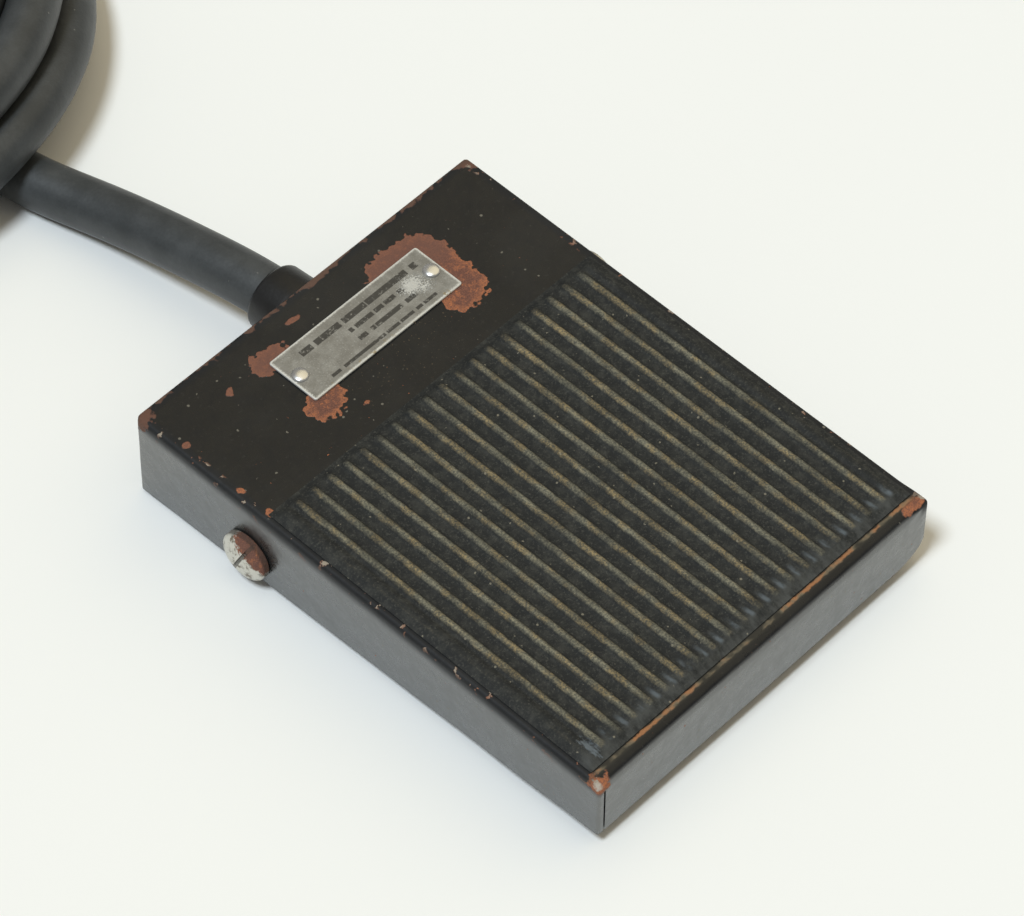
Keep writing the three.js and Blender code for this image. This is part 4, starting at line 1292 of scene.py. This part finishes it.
def washer_and_nut():
    low = COVER_HALF + GAP
    high = low + 0.8
    profile = [[BORE, low], [5.05, low], [5.2, low + 0.15], [5.2, high - 0.15], [5.05, high], [BORE, high]]
    solid("pivot_washer_fine", *bored(profile, 48, along_x(*PIVOT)), "zinc", "base", "zinc_plated",
          "pivot_washer")
    start = high + GAP
    corner = NUT_ACROSS / math.sqrt(3)
    profile = [[BORE, start], [corner, start], [corner, start + 3.0], [BORE, start + 3.0]]
    points, faces = bored(profile, 6, along_x(*PIVOT))
    collar = [[BORE, start + 0.1], [4.5, start + 0.1], [4.5, start + 3.4], [4.35, start + 3.7],
              [4.0, start + 3.9], [BORE, start + 3.9]]
    more_points, more_faces = bored(collar, 40, along_x(*PIVOT))
    count = len(points)
    faces += [tuple(k + count for k in face) for face in more_faces]
    nut = solid("pivot_nut_fine", points + more_points, faces, "zinc", "base", "zinc_plated", "pivot_locknut")
    soften(nut, 0.25, 2, 40.0)


pivot_bolt()
washer_and_nut()


# ---------------------------------------------------------------- base
FEET = {"front_left": (-29, -42), "front_right": (29, -42), "rear_left": (-29, 41), "rear_right": (29, 41)}
BUMPER = (16, -46)
BELOW = BASE_LOW - GAP  # just under the tray
INSIDE = BASE_LOW + SHEET + GAP  # just above its floor


def along_z(x0, y0):
    return lambda a, b, z: at(x0 + a, y0 + b, z)


def rubber_foot(word):
    profile = [[0.0, 0.0], [1.2, 0.0], [1.5, 0.35], [3.6, 0.35], [3.9, 0.0], [4.9, 0.0], [5.35, 0.2],
               [5.55, 0.6], [6.05, BELOW - 0.3], [5.95, BELOW], [2.9, BELOW], [2.9, INSIDE], [4.1, INSIDE],
               [4.3, INSIDE + 0.25], [3.9, INSIDE + 1.0], [2.5, 6.6], [2.1, 6.95], [0.0, 7.0]]
    lathe(f"rubber_foot_{word}", profile, 40, along_z(*FEET[word]), "foot", "base", "foot_rubber",
          f"foot_{word}")


def rubber_bumper(side, word):
    profile = [[0.0, 0.7], [1.8, 0.7], [2.2, 0.9], [2.9, BELOW - 0.15], [2.8, BELOW], [1.9, BELOW],
               [1.9, INSIDE], [3.85, INSIDE], [4.0, INSIDE + 0.2], [3.7, 12.2], [3.5, 12.9], [3.0, 13.35],
               [2.3, 13.5], [0.0, 13.5]]
    lathe(f"rubber_bumper_{word}", profile, 36, along_z(side * BUMPER[0], BUMPER[1]), "foot", "base",
          "foot_rubber", f"stop_bumper_{word}")


SPRING_Y = -36.0
SPRING_R = 6.0
SPRING_WIRE = 0.6
SPRING_LOW = 4.5
SPRING_HIGH = 15.8
SPRING_TURNS = 5
SPRING_STEPS = 240


def return_spring():
    """Five turns with a closed, flattened turn at each end."""
    centers = []
    for k in range(SPRING_STEPS + 1):
        share = k / SPRING_STEPS
        angle = 2 * pi * SPRING_TURNS * share
        rise = share - 0.055 * sin(2 * pi * share)
        centers.append((SPRING_R * cos(angle), SPRING_Y + SPRING_R * sin(angle),
                        SPRING_LOW + (SPRING_HIGH - SPRING_LOW) * rise))
    points, faces = sweep(centers, SPRING_WIRE, 12)
    spring = solid("return_spring_fine", points, faces, "spring", "base", "spring_steel", "return_spring")
    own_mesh(spring)


for foot_word in FEET:
    rubber_foot(foot_word)
rubber_bumper(-1, "left")
rubber_bumper(1, "right")
return_spring()


# ---------------------------------------------------------------- pieces kept from the CAD model
# Node name: its look and how wide its edges are rounded, in millimetres.
CARRIED = {
    "base_pan": ("base", 0.35), "actuator_leaf": ("spring", 0.12), "actuator_button": ("nylon", 0.2),
    "pivot_spacer": ("steel", 0.15), "spring_guide_post": ("zinc", 0.2), "switch_case": ("phenolic", 0.4),
    "switch_plunger": ("nylon", 0.15), "switch_screw_left": ("zinc", 0.12),
    "switch_screw_right": ("zinc", 0.12), "switch_terminal_common": ("brass", 0.12),
    "switch_terminal_closed": ("brass", 0.12), "switch_terminal_open": ("brass", 0.12),
    "crimp_connector_common": ("brass", 0.25), "crimp_connector_open": ("brass", 0.25),
    "wire_common": ("wire_black", 0.1), "wire_open": ("wire_white", 0.1),
    "wire_ground": ("wire_green", 0.1), "ground_lug": ("brass", 0.12), "ground_screw": ("brass", 0.15),
    "cord_jacket_end": ("cord", 0.2), "cord_clamp": ("steel", 0.2), "clamp_screw_left": ("zinc", 0.15),
    "clamp_screw_right": ("zinc", 0.15),
}


def carry_over(name, look, width):
    """Keeps a CAD mesh as it is and rounds its edges with modifiers."""
    node = NODES[name]
    mesh = node.data
    if "custom_normal" in mesh.attributes:
        mesh.attributes.remove(mesh.attributes["custom_normal"])
    mesh.shade_smooth()
    mesh.materials.clear()
    mesh.materials.append(LOOK[look])
    modify(node, "WELD", merge_threshold=0.01 * MM)
    modify(node, "BEVEL", width=width * MM, segments=2, limit_method="ANGLE", angle_limit=radians(40))
    modify(node, "WEIGHTED_NORMAL", weight=80)


for node_name, (node_look, edge_width) in CARRIED.items():
    carry_over(node_name, node_look, edge_width)


# ---------------------------------------------------------------- floor and light
def floor():
    half = 3.0
    points = [(-half, -half, 0.0), (half, -half, 0.0), (half, half, 0.0), (-half, half, 0.0)]
    mesh = bpy.data.meshes.new("floor")
    mesh.from_pydata(points, [], [(0, 1, 2, 3)])
    shade = Shade("pale_floor")
    cloud = shade.place.noise(3.0, 3.0, 0.5)
    shade.set(color=cloud.mix((0.865, 0.87, 0.855), (0.90, 0.905, 0.89)), rough=0.7)
    mesh.materials.append(shade.material)
    ground = add("floor", mesh)


def add_sun(name, azimuth, elevation, strength, color, spread):
    """A soft light that shines from azimuth (0 is +X, 90 is +Y) and elevation, in degrees."""
    data = bpy.data.lights.new(name, "SUN")
    data.energy = strength
    data.color = color
    data.angle = spread
    a, e = radians(azimuth), radians(elevation)
    toward = Vector((cos(a) * cos(e), sin(a) * cos(e), sin(e)))
    add(name, data).rotation_euler = toward.to_track_quat("Z", "Y").to_euler()


def light():
    world = bpy.data.worlds.new("studio")
    world.use_nodes = True
    sky = world.node_tree.nodes["Background"]
    sky.inputs["Color"].default_value = (1.0, 0.955, 0.875, 1.0)
    sky.inputs["Strength"].default_value = 0.27
    bpy.context.scene.world = world
    add_sun("cool_key", 189.0, 66.0, 2.27, (0.838, 0.926, 1.0), 0.24)
    add_sun("warm_fill", -12.0, 60.0, 0.78, (1.0, 0.84, 0.50), 1.4)
    bpy.context.scene.view_settings.view_transform = "Standard"


floor()
light()
